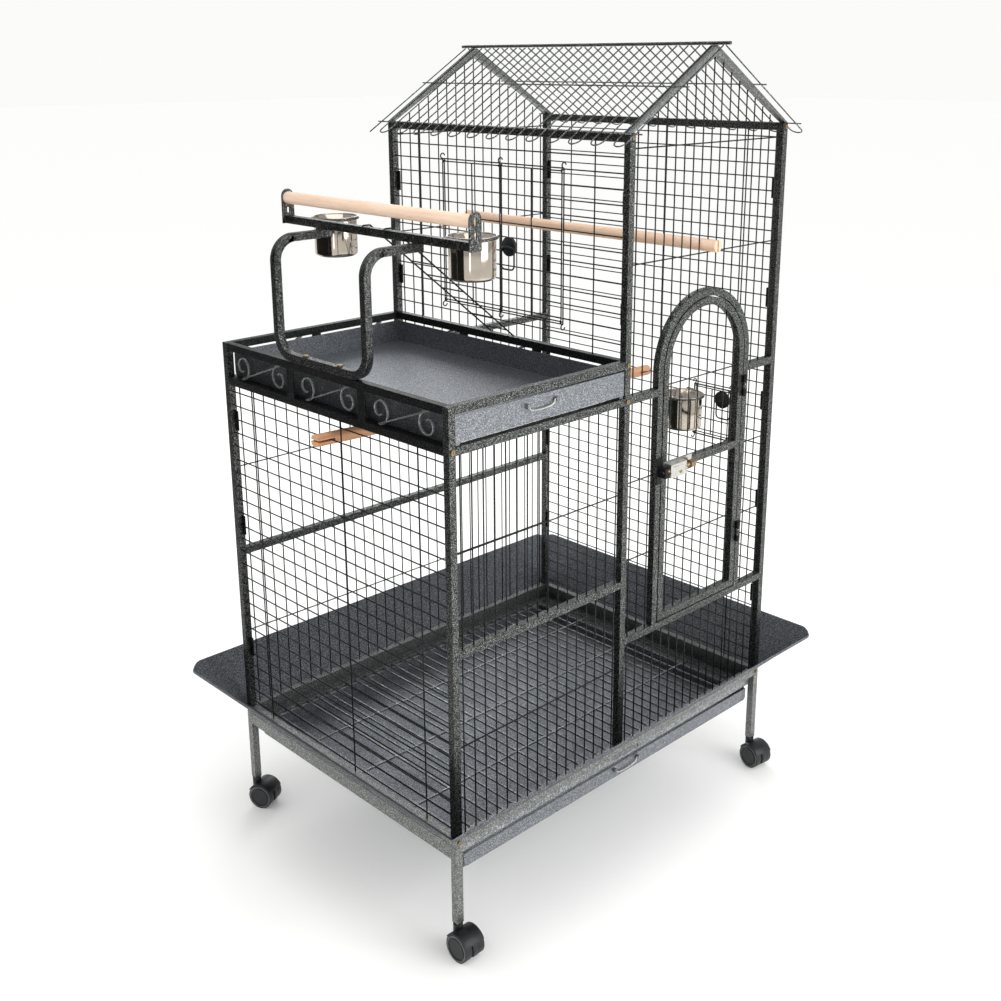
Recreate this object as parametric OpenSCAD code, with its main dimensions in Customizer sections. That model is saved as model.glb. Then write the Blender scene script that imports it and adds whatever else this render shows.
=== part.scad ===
// Play-top parrot cage on a wheeled stand.
// Frame: +Z up, +X to the right along the front, the front faces -Y.
// The origin is on the floor under the middle of the cage.

/* [Cage] */
// Width of the cage body over its posts
cage_w = 858; // [760:1:1000]
// Depth of the cage body over its posts
cage_d = 630; // [560:1:760]
// Width of the tower, on the right of the cage
tower_w = 453; // [420:1:520]
// Side of the square tube
tube = 14; // [12:0.5:18]
// Height of the cage floor frame's underside
frame_z = 208; // [195:1:260]
// Height of the top of the play-top fence
fence_z = 967; // [900:1:1050]
// Height of the play-top fence
fence_h = 79; // [70:1:95]
// Height of the top of the eave beams
eave_z = 1350; // [1300:1:1450]
// Height of the ridge rod's top
ridge_z = 1495; // [1450:1:1620]
// Underside of the middle rail of the left bay
mid_rail_z = 546; // [500:1:600]
// Underside of the rail below the arched door
sill_z = 429; // [400:1:470]

/* [Wires] */
// Side of a panel wire
wire = 2.5; // [2:0.1:3.5]
// Spacing aimed at for the upright wires
wire_step = 25; // [20:0.5:32]
// Spacing aimed at for the level wires of the left side
side_step = 26.6; // [22:0.1:32]
// Spacing aimed at for the level wires of the right side
right_step = 25.3; // [22:0.1:32]
// Spacing aimed at for the long level wires of the front and back
brace_step = 175; // [120:5:260]

/* [Roof] */
// How far the roof wires run past the eave, along the slope
roof_eave = 41; // [20:1:70]
// How far the roof reaches past the gables
roof_gable = 26; // [10:1:45]
// Rafter width, up the slope
rafter = 14; // [10:0.5:18]

/* [Arched door] */
// Width over the fixed arch
jamb_w = 272; // [240:1:310]
// Height of the top of the fixed arch
arch_z = 1065; // [1020:1:1120]
// Gap around the door leaf
door_gap = 2.4; // [1.5:0.1:4]
// Underside of the door's cross bar
cross_z = 739; // [650:1:800]
// Radius of the hinge barrels
barrel_r = 3.6; // [3:0.1:4.5]
// Radius of the hinge pin
hinge_pin_r = 1.6; // [1.2:0.1:2]
// Length of one hinge over its three knuckles
hinge_len = 40; // [30:1:60]

/* [Latch] */
// Radius of the slide bolt
bolt_r = 4; // [3:0.5:5]
// Travel of the slide bolt
bolt_travel = 13; // [8:1:18]
// Length of the latch plate
latch_len = 84; // [70:1:95]
// Height of the latch plate
latch_h = 30; // [24:1:36]

/* [Play doors] */
// Height of the sill of the wire doors onto the play top
play_z0 = 1010; // [990:1:1040]
// Height of the head of the wire doors
play_z1 = 1283; // [1200:1:1300]
// Width of the opening with its two wire doors
play_w = 316; // [260:2:360]
// Thickness of the heavier wire round each wire door
rod = 3.2; // [2.8:0.1:4]

/* [Feeder door] */
// Distance of the feeder door's middle in front of the cage middle
feeder_y = 172; // [150:1:200]
// Width of the feeder door
feeder_w = 88; // [70:1:110]
// Height of the feeder door
feeder_h = 104; // [90:1:120]
// Height of the feeder door's underside
feeder_z = 706; // [650:1:760]

/* [Play top] */
// Height of the play-top tray's walls
tray_h = 43; // [34:1:46]
// Sheet thickness of the trays
sheet = 1.2; // [0.8:0.1:2]
// Distance between the uprights of the play stand, centre to centre
stand_w = 248; // [200:1:300]
// Shift of the play stand's uprights towards the back
stand_y = 10; // [0:1:30]
// Distance of the play bar's middle from the fence's middle
bar_x = 110; // [90:1:130]
// Height of the play bar's underside
bar_z = 1181; // [1120:1:1240]
// Length of the play bar
bar_len = 500; // [440:2:560]
// Bend radius of the play stand's tube, at its middle
bend_r = 38; // [30:1:50]

/* [Perches] */
// Diameter of the wooden perches
perch_d = 22; // [18:0.5:26]
// Height of the tower perch's middle
tower_perch_z = 1143; // [1100:1:1200]
// Height of the lower perch's left end
low_perch_z = 848; // [700:1:860]
// How much lower its right end is
low_perch_fall = 30; // [0:1:60]
// How far the inside perches stick out past the posts
perch_out = 17; // [8:1:25]

/* [Cups] */
// Outer diameter of a cup's body
cup_d = 78; // [66:1:84]
// Height of a cup
cup_h = 72; // [50:1:85]
// Width of a cup's rolled rim
cup_rim = 3; // [2:0.5:3.5]
// Thickness of a cup's wall
cup_wall = 1; // [0.8:0.1:2]
// Radius of the cup rings' wire
ring_r = 2; // [1.5:0.1:2.5]
// Height of the cup rims at the play bar
play_cup_z = 1195; // [1150:1:1215]
// Height of the inside cup's rim
low_cup_z = 803; // [760:1:830]

/* [Ladder] */
// Width of the ladder
ladder_w = 62; // [50:1:90]
// Number of rungs
ladder_rungs = 8; // [5:1:12]

/* [Seed skirt] */
// How far the skirt stands out from the cage
skirt_out = 83; // [60:1:110]
// Rise of the skirt
skirt_rise = 85; // [60:1:100]
// Radius of the skirt's outer corners in plan
skirt_corner = 34; // [20:1:50]

/* [Stand] */
// Height of the casters, from the floor to the foot of a leg
caster_h = 59; // [56:1:75]
// Radius of the caster wheels
wheel_r = 25; // [22:0.5:27]
// Width of one of the twin wheels
wheel_w = 15; // [12:0.5:18]
// Distance of a caster's axle behind its stem
caster_trail = 18; // [12:1:22]
// Radius of the caster stems
stem_r = 4; // [3:0.1:5]
// Depth of the stem's socket in the leg
stem_in = 30; // [20:1:40]
// Height of the pull-out bottom tray
base_tray_h = 27; // [20:1:30]

/* [Fits] */
// Running clearance of pins, stems and bolts, in radius
run = 0.05; // [0.02:0.01:0.1]
// Clearance round sliding trays
slide = 1; // [0.6:0.1:2]
// Small gap between bodies that rest on each other
rest = 0.4; // [0.3:0.1:0.8]

/* [Hidden] */
$fn = 48;
eps = 0.01;

// Main planes
hw = cage_w / 2;
hd = cage_d / 2;
tower_x = hw - tower_w;
tower_mid = (tower_x + hw) / 2;
frame_top = frame_z + tube;
rail_z = fence_z - fence_h;
rail_top = rail_z + tube;
inner_y = hd - tube;
bay_x0 = -hw + tube;
tower_in0 = tower_x + tube;
tower_in1 = hw - tube;
wire_in = (tube - wire) / 2;

// The tower has an odd number of upright wires, so that one is in the middle
tower_step = (tower_in1 - tower_in0) / (2 * floor((tower_in1 - tower_in0) / wire_step / 2) + 1);

// Roof
rod_d = 6;
apex_z = ridge_z - rod_d;
slope_run = tower_mid - tower_x;
slope_rise = apex_z - eave_z;
slope = atan2(slope_rise, slope_run);
slope_len = norm([slope_run, slope_rise]);

// Arched door
jamb_r = jamb_w / 2;
arch_c = arch_z - jamb_r;
jamb_foot = sill_z + tube;
leaf_r = jamb_r - tube - door_gap;
leaf_z = jamb_foot + door_gap;
hinge_x = tower_mid + jamb_r - tube - door_gap / 2;
hinge_y = -hd - barrel_r - 0.3;
hinge_leaf = 1.2;
knuckle = hinge_len / 3;
hinge_zs = [sill_z + 112, sill_z + 412];

// Latch: the bolt runs along X in front of the leaf
bolt_y = -hd - 12;
bolt_z = cross_z + tube / 2;
latch_x = tower_mid - leaf_r + 2;
keeper_x = tower_mid - jamb_r + tube / 2;
bolt_gap = 3;

// Wire doors: each turns on two short pins in the heavier wire round its opening
play_in = 1.5;
play_half = play_w / 2;
feeder_gap = 1.5;
pin_r = wire / 2 - 0.35;
play_x0 = tower_x + wire_in;
play_pin_y = play_half - play_in - rod / 2;
feeder_x0 = hw - wire_in - wire;
feeder_pin_y = -feeder_y + feeder_w / 2 - feeder_gap - rod / 2;

// Play top
tray_z = rail_top + 5;
tray_x0 = -hw + tube + slide;
tray_x1 = tower_x - slide;
tray_front = -hd + 2;
tray_back = inner_y - slide;
ledge_w = 12;
ledge_t = 2;
divider = 20;
bay_n = 3;

// Play stand
stand_x = -hw + tube / 2;
play_x = stand_x + bar_x;
plate_t = 3;
plate_w = 26;
plate_h = 62;
perch_z = bar_z + tube + 32;
cup_x = play_x + perch_d / 2 + cup_d / 2 + cup_rim + 2;
cup_y = 184;

// Inside cup
low_cup_x = hw - tube - cup_d / 2 - cup_rim - 6;
low_cup_y = -140;

// Stand, skirt and bottom tray
shelf_t = 2;
shelf_z = frame_z - 25;
tray_half = hw - tube - 16;
runner_in = 12;
grate_z = shelf_z + shelf_t + rest;
base_tray_z = shelf_z - 3 - base_tray_h;

// ---- helpers ----

// A box between two corners
module block(a, b) {
  translate(a)
    cube(b - a);
}

// A round rod from a, with length len along the axis "x", "y" or "z"
module round_rod(a, r, len, axis) {
  turn = axis == "x" ? [0, 90, 0] : axis == "y" ? [-90, 0, 0] : [0, 0, 0];
  translate(a)
    rotate(turn)
      cylinder(r = r, h = len);
}

// Places of wires across a span: half a step from each side, or a whole step when edge is 1
function wire_places(a, b, step, edge = 0.5) =
  let (n = max(1, round((b - a) / step)), pitch = (b - a) / n)
  [for (i = [0:n - 1]) if (edge < 1 || i > 0) a + pitch * (i + (edge < 1 ? 0.5 : 0))];

// The places that lie inside a window, clear of its edges
function inside(places, a, b) = [for (p = places) if (p > a + wire && p < b - wire) p];

// The place nearest to a wanted one
function nearest(places, wanted) =
  let (gaps = [for (p = places) abs(p - wanted)])
  [for (i = [0:len(places) - 1]) if (gaps[i] == min(gaps)) places[i]][0];

// A flat grid of square wires in the XY plane, cut to a window
module grid(x0, x1, y0, y1, xs, ys) {
  for (x = inside(xs, x0, x1))
    translate([x - wire / 2, y0])
      square([wire, y1 - y0]);
  for (y = inside(ys, y0, y1))
    translate([x0, y - wire / 2])
      square([x1 - x0, wire]);
}

// Stands a drawing up to face the front, its Y axis along Z, with its face at y
module facing_front(y, t) {
  translate([0, y + t, 0])
    rotate([90, 0, 0])
      linear_extrude(t)
        children();
}

// Stands a drawing up to face the side: its X axis along Y, its Y axis along Z
module facing_side(x, t) {
  translate([x, 0, 0])
    rotate([90, 0, 90])
      linear_extrude(t)
        children();
}

// Copies at both signs of X, Y or both
module both_x() {
  for (s = [0, 1])
    mirror([s, 0, 0])
      children();
}

module both_y() {
  for (s = [0, 1])
    mirror([0, s, 0])
      children();
}

// Height of the underside of the rafters above a place along X
function rafter_under(x) =
  eave_z + slope_rise * (1 - abs(x - tower_mid) / slope_run) - rafter / cos(slope);

// ---- stand ----

module stand_legs() {
  color("dimgray")
    for (sx = [-1, 1], sy = [-1, 1])
      translate([sx * (hw - tube / 2), sy * (hd - tube / 2), 0])
        difference() {
          translate([-tube / 2, -tube / 2, caster_h])
            cube([tube, tube, frame_z - caster_h]);
          translate([0, 0, caster_h - eps])
            cylinder(r = stem_r + run, h = stem_in + 2);
        }
}

// A folded side rail: outer web, shelf for the grate, and a runner for the tray
module side_rail() {
  web_x = hw;
  lip_x = tray_half + slide;
  facing_front(-inner_y, 2 * inner_y)
    polygon([
      [web_x, frame_z], [web_x, shelf_z], [lip_x + shelf_t, shelf_z],
      [lip_x + shelf_t, base_tray_z - rest - shelf_t],
      [lip_x - runner_in, base_tray_z - rest - shelf_t], [lip_x - runner_in, base_tray_z - rest],
      [lip_x, base_tray_z - rest], [lip_x, shelf_z], [lip_x - runner_in, shelf_z],
      [lip_x - runner_in, shelf_z + shelf_t], [web_x - shelf_t, shelf_z + shelf_t],
      [web_x - shelf_t, frame_z]
    ]);
}

module stand_rails() {
  color("dimgray") {
    both_x()
      side_rail();
    block([-hw + tube, hd - shelf_t, shelf_z], [hw - tube, hd, frame_z]);
    block([-hw + tube, inner_y - runner_in, shelf_z], [hw - tube, hd - shelf_t, shelf_z + shelf_t]);
  }
}

module floor_frame() {
  color("dimgray")
    difference() {
      block([-hw, -hd, frame_z], [hw, hd, frame_top]);
      block([-hw + tube, -inner_y, frame_z - 1], [hw - tube, inner_y, frame_top + 1]);
    }
}

// One flared skirt panel along X at the front, mitred at its ends.
// half is half the cage's side along the panel, reach is its distance from the middle.
module skirt_panel(half, reach) {
  t = sheet;
  rim = 6;
  intersection() {
    translate([-half - skirt_out, 0, 0])
      rotate([90, 0, 90])
        linear_extrude(2 * (half + skirt_out))
          polygon([
            [-reach, frame_top - t], [-reach, frame_top],
            [-reach - skirt_out, frame_top + skirt_rise],
            [-reach - skirt_out, frame_top + skirt_rise - rim],
            [-reach - skirt_out + t, frame_top + skirt_rise - rim],
            [-reach - skirt_out + t, frame_top + skirt_rise - 1.6 * t]
          ]);
    translate([0, 0, frame_z])
      linear_extrude(skirt_rise + 2 * tube)
        intersection() {
          polygon([
            [-half, -reach], [half, -reach],
            [half + skirt_out, -reach - skirt_out], [-half - skirt_out, -reach - skirt_out]
          ]);
          rounded_plan(half + skirt_out, reach + skirt_out, skirt_corner);
        }
  }
}

// A rectangle with round corners, centred, from circles and squares
module rounded_plan(a, b, r) {
  square([2 * (a - r), 2 * b], center = true);
  square([2 * a, 2 * (b - r)], center = true);
  for (sx = [-1, 1], sy = [-1, 1])
    translate([sx * (a - r), sy * (b - r)])
      circle(r, $fn = 96);
}

module skirt_front_back() {
  color("slategray")
    both_y()
      skirt_panel(hw, hd);
}

module skirt_sides() {
  color("slategray")
    both_x()
      rotate([0, 0, -90])
        skirt_panel(hd, hw);
}

// ---- cage frame ----

module platform_posts() {
  color("dimgray")
    for (y = [-hd, inner_y])
      block([-hw, y, frame_top], [-hw + tube, y + tube, fence_z]);
}

module tower_posts() {
  color("dimgray")
    for (x = [tower_x, hw - tube], y = [-hd, inner_y]) {
      foot = x == tower_x && y > 0 ? rail_top : frame_top;
      block([x, y, foot], [x + tube, y + tube, eave_z - tube]);
    }
}

module front_rails() {
  jamb_x = tower_mid - jamb_r;
  color("dimgray") {
    block([bay_x0, -hd, mid_rail_z], [tower_x, -inner_y, mid_rail_z + tube]);
    block([bay_x0, -hd, rail_z], [tower_x, -inner_y, rail_top]);
    block([bay_x0, -hd, fence_z - tube], [tower_x, -inner_y, fence_z]);
    block([tower_in0, -hd, sill_z], [tower_in1, -inner_y, sill_z + tube]);
    block([tower_in0, -hd, rail_z], [jamb_x, -inner_y, rail_top]);
    block([jamb_x + jamb_w, -hd, rail_z], [tower_in1, -inner_y, rail_top]);
  }
}

module back_rails() {
  color("dimgray") {
    for (z = [mid_rail_z, rail_z])
      block([bay_x0, inner_y, z], [tower_in1, hd, z + tube]);
  }
}

module eave_beams() {
  color("dimgray")
    for (x = [tower_x, hw - tube])
      block([x, -hd, eave_z - tube], [x + tube, hd, eave_z]);
}

// A pair of rafters, from the eave beams up to the ridge
module gable_outline() {
  foot = 0.6 * rafter;
  polygon([
    [tower_x, eave_z], [tower_mid, apex_z], [hw, eave_z], [hw - foot, eave_z],
    [tower_mid, apex_z - rafter / cos(slope)], [tower_x + foot, eave_z]
  ]);
}

module rafters() {
  color("dimgray")
    for (y = [-hd, inner_y])
      facing_front(y, tube)
        gable_outline();
}

// ---- roof ----

module ridge_rod() {
  color("dimgray")
    round_rod([tower_mid, -hd - roof_gable, ridge_z - rod_d / 2], rod_d / 2, 2 * (hd + roof_gable), "y");
}

// The wire field of one slope, drawn flat with x down the slope.
// Neighbouring wires are joined in pairs by a short end across, as in a hairpin.
module roof_field() {
  x0 = 4;
  x1 = slope_len + roof_eave;
  y1 = hd + roof_gable;
  ys = wire_places(-y1, y1, wire_step);
  grid(x0, x1, -y1, y1, [slope_len * 0.49, slope_len + 3], ys);
  for (i = [0:2:len(ys) - 2])
    translate([x1 - wire, ys[i] - wire / 2])
      square([wire, ys[i + 1] - ys[i] + wire]);
  if (len(ys) % 2 == 1)
    translate([x1 - wire, ys[len(ys) - 1] - wire / 2])
      square([wire, wire]);
}

module roof_slope() {
  translate([tower_mid, 0, apex_z])
    rotate([0, slope, 0])
      linear_extrude(wire)
        roof_field();
}

module roof_right() {
  color("dimgray")
    roof_slope();
}

module roof_left() {
  color("dimgray")
    translate([2 * tower_mid, 0, 0])
      mirror([1, 0, 0])
        roof_slope();
}

// ---- wire panels ----

module wires_front_left() {
  xs = wire_places(bay_x0, tower_x, wire_step);
  color("dimgray")
    facing_front(-hd + wire_in, wire) {
      grid(bay_x0, tower_x, frame_top, mid_rail_z, xs, wire_places(frame_top, mid_rail_z, brace_step, 1));
      grid(bay_x0, tower_x, mid_rail_z + tube, rail_z, xs,
        wire_places(mid_rail_z + tube, rail_z, brace_step, 1));
    }
}

// Height above its centre of an arch of radius r, over a distance d from its middle
function arch_rise(r, d) = sqrt(max(0, r * r - d * d));

// Upright wires of the gable, from a foot up to the rafters, with their level wires.
// A wire stops where its nearer corner meets the rafter, and stands on the arch when there is one.
module gable_wires(x0, x1, foot, levels, join = 0, arch_r = 0) {
  xs = inside(wire_places(tower_in0, tower_in1, tower_step), x0, x1);
  for (x = xs) {
    far = abs(x - tower_mid) + wire / 2;
    near = max(0, abs(x - tower_mid) - wire / 2);
    base = foot + (arch_r > 0 ? arch_rise(arch_r, near) : 0);
    translate([x - wire / 2, base])
      square([wire, rafter_under(tower_mid + far) - base]);
  }
  for (z = levels)
    translate([x0 + join, z - wire / 2])
      square([x1 - x0 - 2 * join, wire]);
}

// One level wire under the eave, and one that the tower perch rests on
gable_levels = [eave_z - tube - 12, tower_perch_z - perch_d / 2 - wire / 2 - rest];

module wires_front_tower() {
  jamb_x = tower_mid - jamb_r;
  xs = wire_places(tower_in0, tower_in1, tower_step);
  seam = 0.3;
  bands = 6;
  band_w = jamb_w / bands;
  color("dimgray")
    facing_front(-hd + wire_in, wire) {
      grid(tower_in0, tower_in1, frame_top, sill_z, xs, wire_places(frame_top, sill_z, brace_step, 1));
      for (side = [0, 1]) {
        x0 = side == 0 ? tower_in0 : jamb_x + jamb_w;
        x1 = side == 0 ? jamb_x : tower_in1;
        grid(x0, x1, jamb_foot, rail_z, xs, wire_places(jamb_foot, rail_z, brace_step, 1));
        gable_wires(x0, x1, rail_top, gable_levels, 0);
      }
      for (i = [0:bands - 1])
        gable_wires(jamb_x + i * band_w, jamb_x + (i + 1) * band_w, arch_c, gable_levels, seam, jamb_r);
    }
}

module wires_back() {
  xs = wire_places(bay_x0, tower_in1, wire_step);
  color("dimgray")
    facing_front(inner_y + wire_in, wire) {
      grid(bay_x0, tower_in1, frame_top, mid_rail_z, xs, wire_places(frame_top, mid_rail_z, brace_step, 1));
      grid(bay_x0, tower_in1, mid_rail_z + tube, rail_z, xs,
        wire_places(mid_rail_z + tube, rail_z, brace_step, 1));
      gable_wires(tower_in0, tower_in1, rail_top, gable_levels);
    }
}

// Places of the few upright wires of a side panel
side_uprights = [69 - inner_y, -32, inner_y - 69];
left_levels = wire_places(frame_top, rail_z, side_step);
tower_levels = wire_places(fence_z, eave_z - tube, side_step, 1);
right_levels = wire_places(frame_top, eave_z - tube, right_step);

module wires_left() {
  color("dimgray")
    facing_side(-hw + wire_in, wire)
      grid(-inner_y, inner_y, frame_top, rail_z, side_uprights, left_levels);
}

// Side grid round an opening, as four strips that end in the heavier wire along its edges.
// A hairline seam parts the strips, so that each is one flat piece.
module grid_round(y0, y1, z0, z1, oy0, oy1, oz0, oz1, ys, zs) {
  seam = 0.3;
  low = oz0 - rod;
  high = oz1 + rod;
  tie = 1.3 * side_step;
  grid(y0, y1, z0, low, ys, zs);
  grid(y0, y1, high, z1, ys, zs);
  for (z = [low - wire, oz1])
    translate([oy0 - rod, z])
      square([oy1 - oy0 + 2 * rod, wire + rod]);
  for (y = [oy0 - rod, oy1], z = [low - tie, high])
    translate([y, z])
      square([rod, tie]);
  for (side = [[y0, oy0], [oy1, y1]]) {
    edge = side[0] == y0 ? oy0 - rod : oy1;
    grid(side[0], side[1], oz0 + seam, oz1 - seam, ys, zs);
    translate([edge, oz0 + seam])
      square([rod, oz1 - oz0 - 2 * seam]);
  }
}

// The holes for a wire door's two pins, below and above its opening
module pin_holes(x, y, z0, z1) {
  depth = rod + rest;
  for (z = [z0 - depth, z1])
    round_rod([x, y, z], pin_r + run, depth, "z");
}

module wires_tower_left() {
  z1 = eave_z - tube;
  color("dimgray")
    difference() {
      facing_side(play_x0, wire)
        grid_round(-inner_y, inner_y, fence_z, z1, -play_half, play_half, play_z0, play_z1,
          [-inner_y + 70, inner_y - 70], tower_levels);
      for (s = [-1, 1])
        pin_holes(play_x0 + wire / 2, s * play_pin_y, play_z0, play_z1);
    }
}

module wires_right() {
  z1 = eave_z - tube;
  y = -feeder_y - feeder_w / 2;
  color("dimgray")
    difference() {
      facing_side(feeder_x0, wire)
        grid_round(-inner_y, inner_y, frame_top, z1, y, y + feeder_w, feeder_z, feeder_z + feeder_h,
          side_uprights, right_levels);
      pin_holes(feeder_x0 + wire / 2, feeder_pin_y, feeder_z, feeder_z + feeder_h);
    }
}

// ---- small fixings ----

// Tabs that hook a side panel to its posts, at the heights zs; x is their left face
module hook_tabs(x, zs) {
  tab = [3, 8, 38];
  for (z = zs, y = [-inner_y, inner_y - tab[1]])
    translate([x, y, z - tab[2] / 2])
      cube(tab);
}

module hook_plates() {
  color("black") {
    hook_tabs(-hw + wire_in + wire, [352, 608, 817]);
    hook_tabs(tower_x + wire_in + wire, [1046, 1234]);
    hook_tabs(hw - wire_in - wire - 3, [392, 600, 808, 1017, 1228]);
  }
}

// A pan-head screw on a front or back face; dir is -1 for the front and 1 for the back
module frame_screw(x, z, dir) {
  head_r = 4.2;
  head_h = 2.2;
  translate([x, dir * hd, z])
    rotate([dir * -90, 0, 0])
      difference() {
        cylinder(r = head_r, h = head_h);
        translate([-head_r * 0.7, -0.5, head_h - 0.9])
          cube([head_r * 1.4, 1, 2]);
        translate([-0.5, -head_r * 0.7, head_h - 0.9])
          cube([1, head_r * 1.4, 2]);
      }
}

module screws() {
  bolt_h = 3;
  color("goldenrod") {
    for (dir = [-1, 1]) {
      frame_screw(-hw + tube / 2, rail_z + tube / 2, dir);
      frame_screw(-hw + tube / 2, frame_z + 7, dir);
      frame_screw(hw - tube / 2, frame_z + 7, dir);
      frame_screw(tower_x + tube / 2, rail_z + tube / 2, dir);
      frame_screw(tower_x + tube / 2, eave_z - tube / 2, dir);
      frame_screw(hw - tube / 2, eave_z - tube / 2, dir);
    }
    frame_screw(tower_x + tube / 2, fence_z - tube / 2, -1);
    for (s = [-1, 1])
      round_rod([stand_x, stand_y + s * 48, fence_z + tube], 5, bolt_h, "z");
  }
}

// ---- play top ----

module fence_rails() {
  step = 2 * inner_y / bay_n;
  depth = 3;
  color("dimgray") {
    for (x = [-hw, tower_x])
      difference() {
        block([x, -inner_y, rail_z], [x + tube, inner_y, fence_z]);
        for (i = [0:bay_n - 1]) {
          y0 = -inner_y + i * step + (i > 0 ? divider / 2 : 0);
          y1 = -inner_y + (i + 1) * step - (i < bay_n - 1 ? divider / 2 : 0);
          block([x - 1, y0 - (i == 0 ? 1 : 0), rail_top], [x + tube + 1, y1 + (i == bay_n - 1 ? 1 : 0),
            fence_z - tube]);
        }
        for (i = [1:bay_n - 1])
          block([x + depth, -inner_y + i * step - divider, rail_top],
            [x + tube + 1, -inner_y + i * step + divider, fence_z - tube]);
      }
    for (x = [bay_x0, tower_x - ledge_w])
      block([x, -inner_y, rail_top - ledge_t], [x + ledge_w, inner_y, rail_top]);
    block([bay_x0, inner_y, fence_z - tube], [tower_x, hd, fence_z]);
    mid = (bay_x0 + tower_x) / 2;
    block([mid - divider / 2, inner_y + tube - depth, rail_top], [mid + divider / 2, hd, fence_z - tube]);
  }
}

// A wrought scroll: an open outer curl that winds into a smaller inner one.
// It fills a height h and is drawn upright, its foot at the origin.
module scroll(h) {
  w = 4;
  r1 = h / 2;
  r2 = r1 * 0.66;
  r3 = r1 * 0.4;
  translate([0, r1]) {
    arc_band(r1, w, 90, 360);
    translate([r1 - r2, 0])
      arc_band(r2, w, 0, 180);
    translate([r1 - 2 * r2 + r3, 0])
      arc_band(r3, w, 180, 330);
  }
}

// A band of outer radius r and width w, from one angle to another
module arc_band(r, w, a0, a1) {
  steps = 6;
  turn = (a1 - a0) / steps;
  far = 2 * r;
  intersection() {
    difference() {
      circle(r, $fn = 64);
      circle(r - w, $fn = 64);
    }
    polygon(concat([[0, 0]], [for (i = [0:steps]) far * [cos(a0 + turn * i), sin(a0 + turn * i)]]));
  }
}

module fence_scrolls() {
  t = 3;
  h = fence_h - 2 * tube;
  step = 2 * inner_y / bay_n;
  span = tower_x - bay_x0;
  color("black") {
    for (x = [-hw + 5, tower_x + 5])
      facing_side(x, t)
        for (i = [0:bay_n - 1], s = [-1, 1])
          translate([-inner_y + (i + 0.5) * step + s * step * 0.22, rail_top])
            scroll(h);
    facing_front(hd - 5 - t, t)
      for (i = [0, 1], s = [-1, 1])
        translate([bay_x0 + (i + 0.5) * span / 2 + s * span * 0.11, rail_top])
          scroll(h);
  }
}

// An open tray with a folded sheet wall all round; a is its low corner
module open_tray(a, size) {
  translate(a)
    difference() {
      cube(size);
      translate([sheet, sheet, sheet])
        cube([size[0] - 2 * sheet, size[1] - 2 * sheet, size[2]]);
    }
}

// The platform tray stands on two glide strips
module platform_tray() {
  glide = [ledge_w - 3, tray_back - tray_front - 2, tray_z - rail_top - rest];
  color("slategray") {
    open_tray([tray_x0, tray_front, tray_z], [tray_x1 - tray_x0, tray_back - tray_front, tray_h]);
    for (x = [tray_x0 + 1, tray_x1 - 1 - glide[0]])
      translate([x, tray_front + 1, rail_top + rest])
        cube(glide);
    handle_lugs(platform_pull);
  }
}

// ---- bail handles ----

bail_w = 66;
bail_drop = 14;
bail_r = 1.6;
lug = [4, 6, 7];

// Each pull is the middle of its hinge line: the bail turns about X there
platform_pull = [(tray_x0 + tray_x1) / 2 - 10, tray_front - lug[1] / 2, tray_z + tray_h - 14];
base_plate_t = 2.5;
base_plate_y = -inner_y - 1 - base_plate_t;
base_pull = [12, base_plate_y - lug[1] / 2, base_tray_z + base_tray_h - 9];

// Two ears on a tray's front, bored for the bail's ends
module handle_lugs(pull) {
  for (s = [-1, 1])
    difference() {
      translate([pull[0] + s * bail_w / 2 - lug[0] / 2, pull[1] - lug[1] / 2, pull[2] - lug[2] / 2])
        cube(lug);
      round_rod([pull[0] + s * bail_w / 2 - lug[0], pull[1], pull[2]], bail_r + run, 2 * lug[0], "x");
    }
}

// A wire bail that hangs from its two ears
module bail(pull) {
  arm_x = bail_w / 2 - lug[0] / 2 - bail_r - 0.4;
  for (s = [-1, 1]) {
    x = pull[0] + s * arm_x;
    round_rod([x, pull[1], pull[2] - bail_drop], bail_r, bail_drop, "z");
    round_rod([min(x, x + s * (lug[0] + bail_r)), pull[1], pull[2]], bail_r, lug[0] + bail_r, "x");
    for (z = [pull[2], pull[2] - bail_drop])
      translate([x, pull[1], z])
        sphere(bail_r);
  }
  round_rod([pull[0] - arm_x, pull[1], pull[2] - bail_drop], bail_r, 2 * arm_x, "x");
}

module platform_handle() {
  color("gainsboro")
    bail(platform_pull);
}

module base_handle() {
  color("gainsboro")
    bail(base_pull);
}

// ---- bottom tray and grate ----

module base_tray() {
  front_h = base_tray_h;
  front_w = tray_half + 3;
  corner = 8;
  color("slategray") {
    open_tray([-tray_half, -inner_y - 1, base_tray_z], [2 * tray_half, 2 * inner_y - 3, base_tray_h - 2]);
    facing_front(base_plate_y, base_plate_t) {
      translate([-front_w, base_tray_z + corner])
        square([2 * front_w, front_h - corner - 1]);
      translate([-front_w + corner, base_tray_z])
        square([2 * (front_w - corner), front_h - 1]);
      for (s = [-1, 1])
        translate([s * (front_w - corner), base_tray_z + corner])
          circle(corner);
    }
    handle_lugs(base_pull);
  }
}

// A bar grate with a front plate, whose slot is the hand hold.
// A hairline seam parts the two, so that each is one flat piece.
module floor_grate() {
  half = hw - tube - slide;
  front = -inner_y - 1;
  seam = 0.3;
  back = inner_y - slide;
  border = 6;
  thick = 4;
  plate_h = frame_z - grate_z - 2;
  hold = [74, 11];
  color("dimgray") {
    translate([0, 0, grate_z])
      linear_extrude(thick) {
        grid(-half, half, front, back, wire_places(-half, half, wire_step), [-inner_y / 2, 0, inner_y / 2]);
        difference() {
          translate([-half, front])
            square([2 * half, back - front]);
          translate([-half + border, front + border])
            square([2 * (half - border), back - front - 2 * border]);
        }
      }
    facing_front(front - 2.5, 2.5 - seam)
      difference() {
        translate([-half, grate_z])
          square([2 * half, plate_h]);
        translate([base_pull[0] - hold[0] / 2, grate_z + 5])
          square(hold);
      }
  }
}

// ---- play stand ----

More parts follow.
